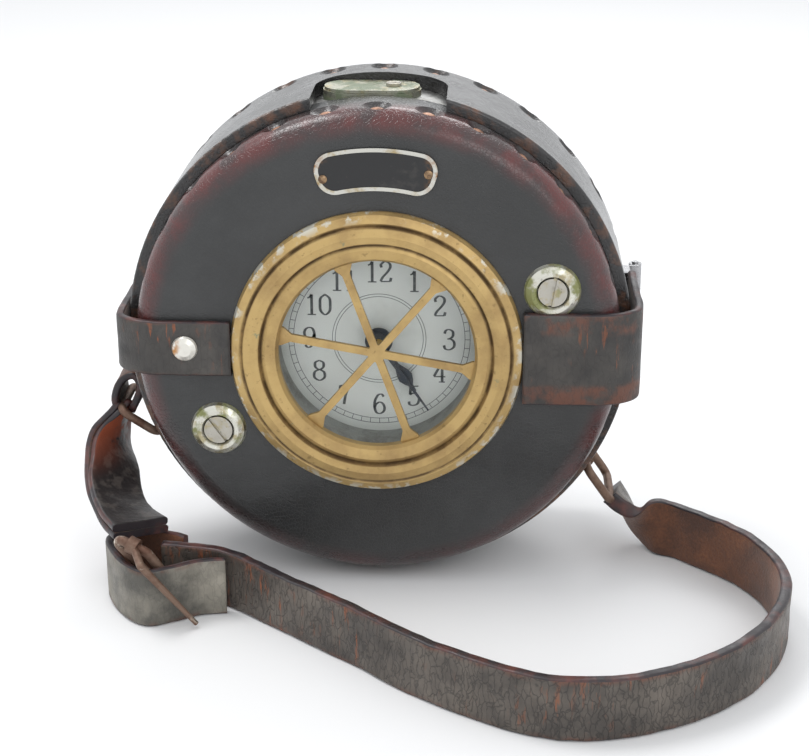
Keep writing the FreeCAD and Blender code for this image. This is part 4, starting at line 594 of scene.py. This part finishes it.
figures = []
for value in range(1, 13):
    mesh = printed_figure(value)
    mesh.materials.append(dial_ink)
    figures.append(new_object("figure_%d" % value, mesh))
numerals = joined("dial_numerals", figures)
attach(numerals, "case")

line_width = 0.16 * millimetre
circle_radii = (seconds_circle, seconds_circle - 0.8 * millimetre, track_inner, track_outer)
circles = [flat_ring("ring_%d" % index, radius - line_width / 2, radius + line_width / 2)
           for index, radius in enumerate(circle_radii)]
dial_circles = joined("dial_circles", circles)
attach(dial_circles, "case")


def minute_marks_tree():
    tree = bpy.data.node_groups.new("minute_marks", "GeometryNodeTree")
    for label, kind in (("Geometry", "NodeSocketGeometry"), ("Count", "NodeSocketInt"),
                        ("Radius", "NodeSocketFloat"), ("Length", "NodeSocketFloat"),
                        ("Width", "NodeSocketFloat")):
        tree.interface.new_socket(name=label, in_out="INPUT", socket_type=kind)
    tree.interface.new_socket(name="Geometry", in_out="OUTPUT", socket_type="NodeSocketGeometry")
    given = tree.nodes.new("NodeGroupInput")
    result = tree.nodes.new("NodeGroupOutput")
    circle = tree.nodes.new("GeometryNodeMeshCircle")
    tree.links.new(given.outputs["Count"], circle.inputs["Vertices"])
    tree.links.new(given.outputs["Radius"], circle.inputs["Radius"])
    size = tree.nodes.new("ShaderNodeCombineXYZ")
    tree.links.new(given.outputs["Length"], size.inputs["X"])
    tree.links.new(given.outputs["Width"], size.inputs["Y"])
    size.inputs["Z"].default_value = ink_thickness
    mark = tree.nodes.new("GeometryNodeMeshCube")
    tree.links.new(size.outputs[0], mark.inputs["Size"])
    place = tree.nodes.new("GeometryNodeInputPosition")
    turn = tree.nodes.new("FunctionNodeAlignRotationToVector")
    turn.axis = "X"
    tree.links.new(place.outputs[0], turn.inputs["Vector"])
    copies = tree.nodes.new("GeometryNodeInstanceOnPoints")
    tree.links.new(circle.outputs[0], copies.inputs["Points"])
    tree.links.new(mark.outputs["Mesh"], copies.inputs["Instance"])
    tree.links.new(turn.outputs[0], copies.inputs["Rotation"])
    real = tree.nodes.new("GeometryNodeRealizeInstances")
    tree.links.new(copies.outputs[0], real.inputs[0])
    ink = tree.nodes.new("GeometryNodeSetMaterial")
    ink.inputs["Material"].default_value = dial_ink
    tree.links.new(real.outputs[0], ink.inputs["Geometry"])
    tree.links.new(ink.outputs[0], result.inputs[0])
    return tree


def spread_by_tree(name, tree, values):
    seed_mesh = bpy.data.meshes.new(name)
    carrier = new_object(name + "_carrier", seed_mesh)
    modifier = carrier.modifiers.new("copies", "NODES")
    modifier.node_group = tree
    for item in tree.interface.items_tree:
        if item.item_type == "SOCKET" and item.in_out == "INPUT" and item.name in values:
            modifier[item.identifier] = values[item.name]
    bpy.context.view_layer.update()
    mesh = bpy.data.meshes.new_from_object(carrier.evaluated_get(bpy.context.evaluated_depsgraph_get()))
    carrier.modifiers.remove(modifier)
    bpy.data.objects.remove(carrier)
    return mesh


mark_values = {
    "Count": 60,
    "Radius": (track_inner + track_outer) / 2,
    "Length": track_outer - track_inner,
    "Width": line_width,
}
marks_mesh = spread_by_tree("minute_marks", minute_marks_tree(), mark_values)
stood_up = Matrix.Rotation(math.radians(90), 4, "X")
marks_mesh.transform(Matrix.Translation((0, dial_face - ink_lift, 0)) @ stood_up)
minute_marks = new_object("minute_marks", marks_mesh)
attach(minute_marks, "case")

# Hands: blued steel, cut from sheet, dark with a dry grey bloom.
# Each is pushed onto its own pipe in the middle of the dial.
hand_blue = metal_finish("blued_hand_steel", (0.075, 0.085, 0.105), (0.12, 0.12, 0.12), 0.42, 0.6, 300.0)
dress(hand_blue, "hour_hand", "minute_hand")

# Movement: brass plates, barrel and crossed-out wheels, steel pinions, arbors, springs and screws.
# Brass is lacquered and clean; steel is polished grey.
clock_brass = metal_finish("lacquered_clock_brass", (0.56, 0.39, 0.15), (0.42, 0.28, 0.11), 0.3, 1.0, 60.0)
clock_steel = metal_finish("polished_clock_steel", (0.42, 0.42, 0.43), (0.26, 0.26, 0.27), 0.28, 1.0, 150.0)
dress(clock_brass, "movement_front_plate", "movement_back_plate", "mainspring_barrel", "centre_wheel",
      "third_wheel", "fourth_wheel", "escape_wheel", "balance_wheel", "balance_cock", "cannon_pinion",
      "minute_wheel", "hour_wheel", "recorder_drive_gear", "type_wheel", "supply_spool", "takeup_spool",
      "lock_housing")
dress(clock_steel, "movement_screws", "click", "ratchet_wheel", "winding_arbor", "pallet_fork", "hairspring",
      "mainspring", "stamp_lever", "lock_plug", "hinge_case_leaf", "hinge_lid_leaf")

# Recorder tape: plain cream paper, wound on both spools and drawn past the type wheel.
# Its fibres give it a faint cloudy grain.


def paper_finish():
    finish, tree, shader = finish_named("cream_tape_paper")
    place = object_place(tree)
    fibres = fine_noise(tree, place, 1500.0, 6.0)
    cream = (0.72, 0.67, 0.54)
    aged_cream = (0.62, 0.56, 0.43)
    feed(shader, "Base Color", colours(tree, spread(tree, fibres, 0.35, 0.65), cream, aged_cream))
    shader.inputs["Roughness"].default_value = 0.85
    bump(tree, shader, fibres, 0.00003, 0.4)
    return finish


dress(paper_finish(), "paper_tape", "supply_roll", "takeup_roll")

# Name plate: a black enamelled brass badge left bare, with a silvery raised border and orange
# corrosion at its ends. Two brass nails hold it, which share a node with the strap's white stud.


def badge_finish():
    finish, tree, shader = finish_named("black_badge_enamel")
    place = object_place(tree)
    enamel_black, enamel_worn = (0.013, 0.013, 0.014), (0.055, 0.05, 0.045)
    border_silver, border_brown = (0.60, 0.59, 0.54), (0.42, 0.34, 0.20)
    border = spread(tree, on_case(tree, place)[1], -0.53, -0.62)
    worn = patches(tree, place, 260.0, 0.55, 0.1, 2.0)
    enamel = colours(tree, number(tree, "MULTIPLY", worn, 0.4), enamel_black, enamel_worn)
    stained = patches(tree, place, 160.0, 0.5, 0.12, 4.0)
    colour = colours(tree, border, enamel, colours(tree, stained, border_silver, border_brown))
    split = split_place(tree, place)
    ends = spread(tree, number(tree, "ABSOLUTE", split["X"]), 0.0128, 0.0172)
    rust = number(tree, "MULTIPLY", ends, patches(tree, place, 240.0, 0.46, 0.1, 8.0))
    orange_rust = (0.30, 0.13, 0.03)
    colour = colours(tree, rust, colour, orange_rust)
    feed(shader, "Base Color", colour)
    feed(shader, "Metallic", number(tree, "MULTIPLY", border, 0.9))
    shader.inputs["Roughness"].default_value = 0.32
    bump(tree, shader, fine_noise(tree, place, 500.0), 0.00004, 0.3)
    return finish


dress(badge_finish(), "name_plate")


def nickel_finish(name, clean, green_level, green=(0.21, 0.22, 0.085), rough=0.3, seed=0.0):
    finish, tree, shader = finish_named(name)
    place = object_place(tree)
    brassy = patches(tree, place, 300.0, 0.5, 0.1, 3.0 + seed)
    brass_below, pit_brown = (0.42, 0.37, 0.24), (0.06, 0.05, 0.035)
    colour = colours(tree, brassy, clean, brass_below)
    salts = patches(tree, place, 150.0, green_level, 0.1, 5.0 + seed)
    colour = colours(tree, salts, colour, green)
    pits = patches(tree, place, 900.0, 0.62, 0.06, 8.0 + seed)
    colour = colours(tree, number(tree, "MULTIPLY", pits, 0.7), colour, pit_brown)
    feed(shader, "Base Color", colour)
    feed(shader, "Metallic", spread(tree, salts, 0.0, 1.0, 0.95, 0.25))
    uneven_gloss(tree, shader, fine_noise(tree, place, 420.0), rough - 0.06, rough + 0.16)
    bump(tree, shader, number(tree, "ADD", pits, fine_noise(tree, place, 380.0)), 0.00006, 0.5)
    return finish


def stud_finish():
    finish, tree, shader = finish_named("stud_nickel_and_nail_brass")
    place = object_place(tree)
    split = split_place(tree, place)
    stud_white, stud_orange = (0.74, 0.72, 0.66), (0.45, 0.22, 0.08)
    nail_brass, nail_brown = (0.32, 0.21, 0.12), (0.13, 0.08, 0.05)
    nails_only = spread(tree, split["Z"], 0.03, 0.04)
    left_side = spread(tree, split["X"], -0.0548, -0.0572)
    rubbed = number(tree, "MULTIPLY", left_side, patches(tree, place, 300.0, 0.42, 0.1, 2.0))
    stud = colours(tree, rubbed, stud_white, stud_orange)
    nail = colours(tree, patches(tree, place, 500.0, 0.5, 0.1, 5.0), nail_brass, nail_brown)
    feed(shader, "Base Color", colours(tree, nails_only, stud, nail))
    shader.inputs["Metallic"].default_value = 0.7
    shader.inputs["Roughness"].default_value = 0.34
    bump(tree, shader, fine_noise(tree, place, 500.0), 0.00005, 0.4)
    return finish


dress(stud_finish(), "front_studs")

# Case screws: two big slotted screws in domed nickel grommets join the leather to the drum.
# The grommets carry yellow-green salts; the key flap's small screw shares their node.
dress(nickel_finish("greened_grommet_nickel", (0.66, 0.65, 0.58), 0.47), "screw_grommets")
dress(nickel_finish("grey_screw_nickel", (0.46, 0.44, 0.39), 0.6, rough=0.36, seed=2.0), "case_screws")

# Key way: a seated boss with its guide tube under an oval flap, both nickelled and gone green.
# The flap turns aside on one small screw in the key notch.
dress(nickel_finish("greened_flap_nickel", (0.40, 0.40, 0.33), 0.44, (0.17, 0.20, 0.13), 0.4, 4.0),
      "keyhole_flap", "keyhole_boss")

# Rings and lugs: drawn iron wire and pressed iron lugs, brown with rust, bright where they rub.
# The lugs are riveted to the band and the bent rings hang in them.


def wire_finish(name, bright_level=0.62):
    finish, tree, shader = finish_named(name)
    place = object_place(tree)
    rust = patches(tree, place, 190.0, 0.46, 0.16, 1.0)
    iron_brown, rust_brown, bare_iron = (0.20, 0.13, 0.095), (0.12, 0.06, 0.04), (0.62, 0.55, 0.46)
    colour = colours(tree, rust, iron_brown, rust_brown)
    bright = patches(tree, place, 70.0, bright_level, 0.05, 4.0)
    colour = colours(tree, bright, colour, bare_iron)
    feed(shader, "Base Color", colour)
    feed(shader, "Metallic", spread(tree, bright, 0.0, 1.0, 0.55, 1.0))
    feed(shader, "Roughness", spread(tree, bright, 0.0, 1.0, 0.58, 0.25))
    bump(tree, shader, fine_noise(tree, place, 600.0, 6.0), 0.00008, 0.6)
    return finish


ring_wire = wire_finish("rusty_ring_wire")
dress(ring_wire, "left_ring", "right_ring", "ring_lugs")

# Straps: harness leather cut in strips. The outer face is grey-black and cracked, with streaks worn
# to orange; the flesh side is rust-brown and furry; the cut edges are dark and burnished.
streak_orange = (0.27, 0.075, 0.022)
edge_brown = (0.12, 0.048, 0.030)
crack_black = (0.012, 0.010, 0.009)


def strap_outer_finish(name, seed=0.0, worn_level=0.6, crack_amount=1.0, dark=(0.052, 0.044, 0.038),
                       light=(0.150, 0.126, 0.104)):
    finish, tree, shader = finish_named(name)
    along = node_in(tree, "ShaderNodeUVMap", uv_map="strap").outputs[0]
    place = object_place(tree)
    cloud = patches(tree, place, 60.0, 0.4, 0.3, 2.0 + seed)
    colour = colours(tree, cloud, dark, light)
    stretch = node_in(tree, "ShaderNodeMapping")
    stretch.inputs["Scale"].default_value = (1.0, 0.16, 1.0)
    tree.links.new(along, stretch.inputs["Vector"])
    streaks = patches(tree, stretch.outputs[0], 430.0, worn_level - 0.05, 0.06, 4.0 + seed)
    areas = patches(tree, place, 26.0, 0.5, 0.12, 6.0 + seed)
    streaks = number(tree, "MULTIPLY", streaks, areas)
    colour = colours(tree, streaks, colour, streak_orange)
    split = split_place(tree, along)
    edge = spread(tree, number(tree, "ABSOLUTE", split["Y"]), 0.0066, 0.0088)
    edge = number(tree, "MULTIPLY", edge, patches(tree, place, 140.0, 0.45, 0.14, 7.0 + seed))
    colour = colours(tree, edge, colour, edge_brown)
    cracks = node_in(tree, "ShaderNodeTexVoronoi", feature="DISTANCE_TO_EDGE")
    cracks.inputs["Scale"].default_value = 260.0
    shrink = node_in(tree, "ShaderNodeMapping")
    shrink.inputs["Scale"].default_value = (2.4, 0.7, 1.0)
    bend = node_in(tree, "ShaderNodeMix", data_type="VECTOR")
    bend.inputs[0].default_value = 0.006
    wander = node_in(tree, "ShaderNodeTexNoise")
    wander.inputs["Scale"].default_value = 300.0
    tree.links.new(along, shrink.inputs["Vector"])
    tree.links.new(along, wander.inputs["Vector"])
    tree.links.new(shrink.outputs[0], bend.inputs[4])
    tree.links.new(wander.outputs["Color"], bend.inputs[5])
    tree.links.new(bend.outputs[1], cracks.inputs["Vector"])
    open_crack = spread(tree, cracks.outputs["Distance"], 0.0, 0.09)
    crack_shade = number(tree, "MULTIPLY", number(tree, "SUBTRACT", 1.0, open_crack), 0.55 * crack_amount)
    colour = colours(tree, crack_shade, colour, crack_black)
    feed(shader, "Base Color", colour)
    grain = fine_noise(tree, place, 900.0, 5.0)
    height = number(tree, "MULTIPLY_ADD", open_crack, 1.5 * crack_amount, grain)
    bump(tree, shader, height, 0.00016, 0.6)
    uneven_gloss(tree, shader, fine_noise(tree, place, 130.0), 0.38, 0.6)
    return finish


def strap_flesh_finish():
    finish, tree, shader = finish_named("rust_flesh_side")
    place = object_place(tree)
    nap = fine_noise(tree, place, 1200.0, 6.0, 0.7)
    cloud = patches(tree, place, 55.0, 0.42, 0.24, 3.0)
    flesh_dark, flesh_light, nap_shade = (0.085, 0.036, 0.021), (0.22, 0.080, 0.032), (0.035, 0.018, 0.013)
    colour = colours(tree, cloud, flesh_dark, flesh_light)
    colour = colours(tree, spread(tree, nap, 0.3, 0.7, 0.0, 0.5), colour, nap_shade)
    feed(shader, "Base Color", colour)
    shader.inputs["Roughness"].default_value = 0.9
    shader.inputs["Sheen Weight"].default_value = 0.25
    bump(tree, shader, nap, 0.0003, 0.8)
    return finish


def strap_edge_finish():
    finish, tree, shader = finish_named("burnished_strap_edge")
    place = object_place(tree)
    cloud = patches(tree, place, 110.0, 0.48, 0.16, 3.0)
    burnished, rubbed = (0.020, 0.015, 0.018), (0.095, 0.030, 0.024)
    feed(shader, "Base Color", colours(tree, cloud, burnished, rubbed))
    uneven_gloss(tree, shader, fine_noise(tree, place, 200.0), 0.3, 0.55)
    bump(tree, shader, fine_noise(tree, place, 700.0, 5.0), 0.00012, 0.6)
    return finish


def stained_inner_finish():
    finish, tree, shader = finish_named("stained_inner_leather")
    place = object_place(tree)
    split = split_place(tree, place)
    near_ring = spread(tree, split["Z"], -0.044, -0.030)
    stain = number(tree, "MULTIPLY", patches(tree, place, 75.0, 0.42, 0.05, 12.0), near_ring)
    black = patches(tree, place, 230.0, 0.52, 0.08, 3.0)
    inner_black, inner_grey, orange_stain = (0.016, 0.013, 0.013), (0.050, 0.042, 0.038), (0.27, 0.055, 0.018)
    colour = colours(tree, black, inner_black, inner_grey)
    colour = colours(tree, stain, colour, orange_stain)
    feed(shader, "Base Color", colour)
    feed(shader, "Roughness", spread(tree, stain, 0.0, 1.0, 0.4, 0.85))
    bump(tree, shader, fine_noise(tree, place, 500.0, 6.0), 0.0003, 0.8)
    return finish


strap_outer = strap_outer_finish("cracked_strap_leather")
strap_flesh = strap_flesh_finish()
strap_edge = strap_edge_finish()
short_inner_finishes = (stained_inner_finish(), strap_outer, strap_edge)


# A strap is given by stations: x, depth, z, width direction, width and thickness.
# More stations are made between them on one smooth line.
def smooth_stations(stations, steps):
    rows = []
    for x, depth, z, across, width, thick in stations:
        across = Vector(across).normalized()
        rows.append([x, depth - case_depth, z, across.x, across.y, across.z, width, thick])
    dense = []
    last = len(rows) - 1
    for index in range(last):
        before = rows[max(index - 1, 0)]
        after = rows[min(index + 2, last)]
        for step in range(steps):
            t = step / steps
            dense.append([0.5 * (2 * b + (c - a) * t + (2 * a - 5 * b + 4 * c - d) * t * t
                                 + (3 * b - a - 3 * c + d) * t ** 3)
                          for a, b, c, d in zip(before, rows[index], rows[index + 1], after)])
    dense.append(rows[last])
    return dense


# The cross-section is a rounded oblong, with extra points across both faces for the ripples
def strap_outline(half, thick, corner):
    across_cuts = 8
    outline = []
    for side_start in (0, 90, 180, 270):
        middle_w = (half - corner) * (1 if side_start in (0, 270) else -1)
        middle_t = (thick - corner) * (1 if side_start in (0, 90) else -1)
        for step in range(4):
            turn = math.radians(side_start + 90 * step / 3)
            outline.append((middle_w + corner * math.cos(turn), middle_t + corner * math.sin(turn)))
        if side_start in (0, 180):
            sign = 1 if side_start == 0 else -1
            for cut in range(1, across_cuts):
                outline.append((sign * (half - corner) * (1 - 2 * cut / across_cuts), sign * thick))
    return outline


def strap_mesh(name, stations, steps=8, round_corner=0.7, finishes=None, ripple=0.15, seed=1, flip=False):
    dense = smooth_stations(stations, steps)
    centres = [Vector(row[:3]) for row in dense]
    shape = bmesh.new()
    uv = shape.loops.layers.uv.new("strap")
    rings = []
    travelled = 0.0
    for index, row in enumerate(dense):
        ahead = centres[min(index + 1, len(dense) - 1)] - centres[max(index - 1, 0)]
        ahead.normalize()
        across = Vector(row[3:6])
        across = (across - ahead * across.dot(ahead)).normalized()
        face = ahead.cross(across)
        if flip:
            face = -face
        half, thick = row[6] / 2, row[7] / 2
        corner = min(round_corner, thick * 0.95)
        if index:
            travelled += (centres[index] - centres[index - 1]).length
        ring = []
        for w, t in strap_outline(half, thick, corner):
            swell = noise.noise(Vector((travelled * 0.11, w * 0.15, seed * 7.3))) * ripple
            swell += noise.noise(Vector((travelled * 0.5, w * 0.5, seed * 3.1 + (t > 0)))) * ripple * 0.35
            edge_waver = noise.noise(Vector((travelled * 0.22, 3.3 * seed, 1.0 if w > 0 else 5.0))) * ripple
            place = centres[index] + across * (w + edge_waver * abs(w) / half) + face * (t + swell)
            ring.append((shape.verts.new(place * millimetre), travelled * millimetre, w * millimetre, t))
        rings.append(ring)
    count = len(rings[0])
    for first, second in zip(rings, rings[1:]):
        for index in range(count):
            ahead = (index + 1) % count
            corners = (first[index], second[index], second[ahead], first[ahead])
            made = shape.faces.new([corner[0] for corner in corners])
            made.smooth = True
            middle = (first[index][3] + first[ahead][3]) / 2
            thick_here = max(corner[3] for corner in first)
            outer_face = middle > thick_here * 0.93
            inner_face = middle < -thick_here * 0.93
            made.material_index = 0 if outer_face else 1 if inner_face else 2
            for loop, corner in zip(made.loops, corners):
                loop[uv].uv = (corner[1], corner[2])
    for ring in (rings[0], rings[-1]):
        made = shape.faces.new([corner[0] for corner in ring])
        made.material_index = 2
        for loop, corner in zip(made.loops, ring):
            loop[uv].uv = (corner[1], corner[2])
    bmesh.ops.recalc_face_normals(shape, faces=shape.faces)
    mesh = bpy.data.meshes.new(name)
    shape.to_mesh(mesh)
    shape.free()
    for finish in finishes or (strap_outer, strap_flesh, strap_edge):
        mesh.materials.append(finish)
    return new_object(name, mesh)


upright = (0, 0, 1)
ground = -73.0
strap_width = 17.5
strap_level = ground + strap_width / 2

# Long shoulder strap: one strip of cracked harness leather, 17.5 mm wide, standing on its edge.
# It runs from the buckle round the front of the clock, then twists up to the right ring.
long_points = [(-62.0, -11.0), (-50.0, -12.5), (-40.0, -17.0), (-22.0, -32.5), (-4.0, -47.5), (21.0, -69.0),
               (51.0, -83.6), (80.0, -77.0), (104.0, -56.0), (115.5, -27.0), (110.3, -0.5), (92.5, 19.5)]
long_stations = [(x, y, strap_level, upright, strap_width, 3.3) for x, y in long_points]
long_stations += [(85.0, 24.6, strap_level, (0, 0.05, 1), strap_width, 3.6),
                  (79.0, 27.4, -63.4, (-0.2, -0.7, 0.85), 17.5, 4.4),
                  (74.3, 29.6, -59.6, (-0.1, -1, 0.35), 17.4, 5.0),
                  (70.6, 31.0, -55.6, (0, -1, 0), 17.4, 5.0)]
long_leather = strap_mesh("long_strap_leather", long_stations, 9, 0.9, ripple=0.3, seed=2)
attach(long_leather, "case")
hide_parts("long_strap")

# Chape: the folded tab of thinner leather that holds the buckle, rubbed paler than the strap.
# It stands on the ground and both its ends lie along the long strap.
chape_points = [(-42.5, -20.2), (-50.0, -21.8), (-57.0, -26.0), (-64.5, -29.0), (-72.5, -21.5), (-78.0, -8.5),
                (-73.5, -1.0), (-65.0, -2.0), (-56.0, -6.5)]
chape_stations = [(x, y, strap_level, upright, strap_width, 2.3) for x, y in chape_points]
chape_outer = strap_outer_finish("worn_chape_leather", seed=5.0, worn_level=0.68, crack_amount=0.3,
                                 dark=(0.085, 0.080, 0.068), light=(0.31, 0.285, 0.235))
chape_finishes = (chape_outer, strap_flesh, strap_edge)
chape_leather = strap_mesh("chape_leather", chape_stations, 9, 0.8, chape_finishes, 0.18, 3, flip=True)
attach(chape_leather, "case")
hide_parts("strap_chape")

# Short strap: black leather, stained orange inside, that comes down from the left ring.
# It is two layers: the outer one turns round the ring's bar and comes back as the inner one.
short_run = [((-79.5, 31.0, -29.1), (0, 1, 0), (-0.9, 0, 0.43)),
             ((-82.2, 25.0, -37.1), (0.3, 1, -0.3), (-1, 0.2, 0.1)),
             ((-81.2, 16.0, -43.1), (0.8, 0.8, -0.5), (-0.8, 0.5, -0.2)),
             ((-79.0, 7.0, -48.1), (0.9, 0.7, -0.4), (-0.6, 0.7, -0.5)),
             ((-74.0, -2.5, -51.1), (0.7, 0.85, -0.2), (-0.1, 0.2, -1)),
             ((-68.1, -11.0, -51.4), (0.7, 0.8, -0.1), (0, 0.1, -1))]
short_width = 17.4
short_thick = 2.3
layer_offset = 1.32


def layer(offset):
    made = []
    for middle, across, face in short_run:
        place = Vector(middle) + Vector(face).normalized() * offset
        made.append((*place, across, short_width, short_thick))
    return made


ring_fold = [(x, 31.0, z, (0, 1, 0), short_width, short_thick) for x, z in (
    (-75.9, -28.4), (-72.9, -20.9), (-74.6, -16.9), (-78.4, -18.6), (-80.6, -23.6))]
outer_layer = strap_mesh("short_strap_outer_layer", ring_fold + layer(layer_offset), 8, 0.8, ripple=0.15,
                         seed=4)
inner_layer = strap_mesh("short_strap_inner_layer", layer(-layer_offset), 8, 0.8, short_inner_finishes, 0.25,
                         8)
short_leather = joined("short_strap_leather", [outer_layer, inner_layer])
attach(short_leather, "case")
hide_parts("short_strap")

# Cross straps: one leather strip from each side of the bezel, bent over the rim and down the band.
# The left one is held by the white stud and both are worn brown along their edges.
left_middle, left_width = 1.1, 16.2
right_middle, right_width = -0.6, 27.2
strap_front = -1.35
side_reach = 74.4
cross_start = 41.5


def cross_stations(side, middle, width, start, back):
    points = [(start, strap_front), (52, strap_front), (63.5, strap_front + 0.1), (69.5, 0.6), (73.4, 4.2),
              (side_reach, 9.6), (side_reach, 18), (side_reach, 30), (side_reach, back)]
    return [(side * x, depth, middle, upright, width, 2.4) for x, depth in points]


cross_outer = strap_outer_finish("cross_strap_leather", seed=11.0, worn_level=0.62, crack_amount=0.4,
                                 dark=(0.028, 0.026, 0.025), light=(0.075, 0.068, 0.060))
cross_finishes = (cross_outer, strap_flesh, strap_edge)
left_stations = cross_stations(-1, left_middle, left_width, cross_start, 48.0)
right_stations = cross_stations(1, right_middle, right_width, cross_start, 40.0)
left_cross = strap_mesh("left_cross_leather", left_stations, 6, 0.8, cross_finishes, 0.12, 5, flip=True)
right_cross = strap_mesh("right_cross_leather", right_stations, 6, 0.8, cross_finishes, 0.12, 6)
for piece, node in ((left_cross, "left_cross_strap"), (right_cross, "right_cross_strap")):
    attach(piece, "case")
    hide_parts(node)

# Buckle: bent iron wire with its tongue, brown with rust and bright at one corner.
# The frame hangs in the chape's fold and the tongue turns on its top bar.
buckle_wire = wire_finish("rusty_buckle_wire", 0.57)
dress(buckle_wire, "buckle_frame", "buckle_tongue")
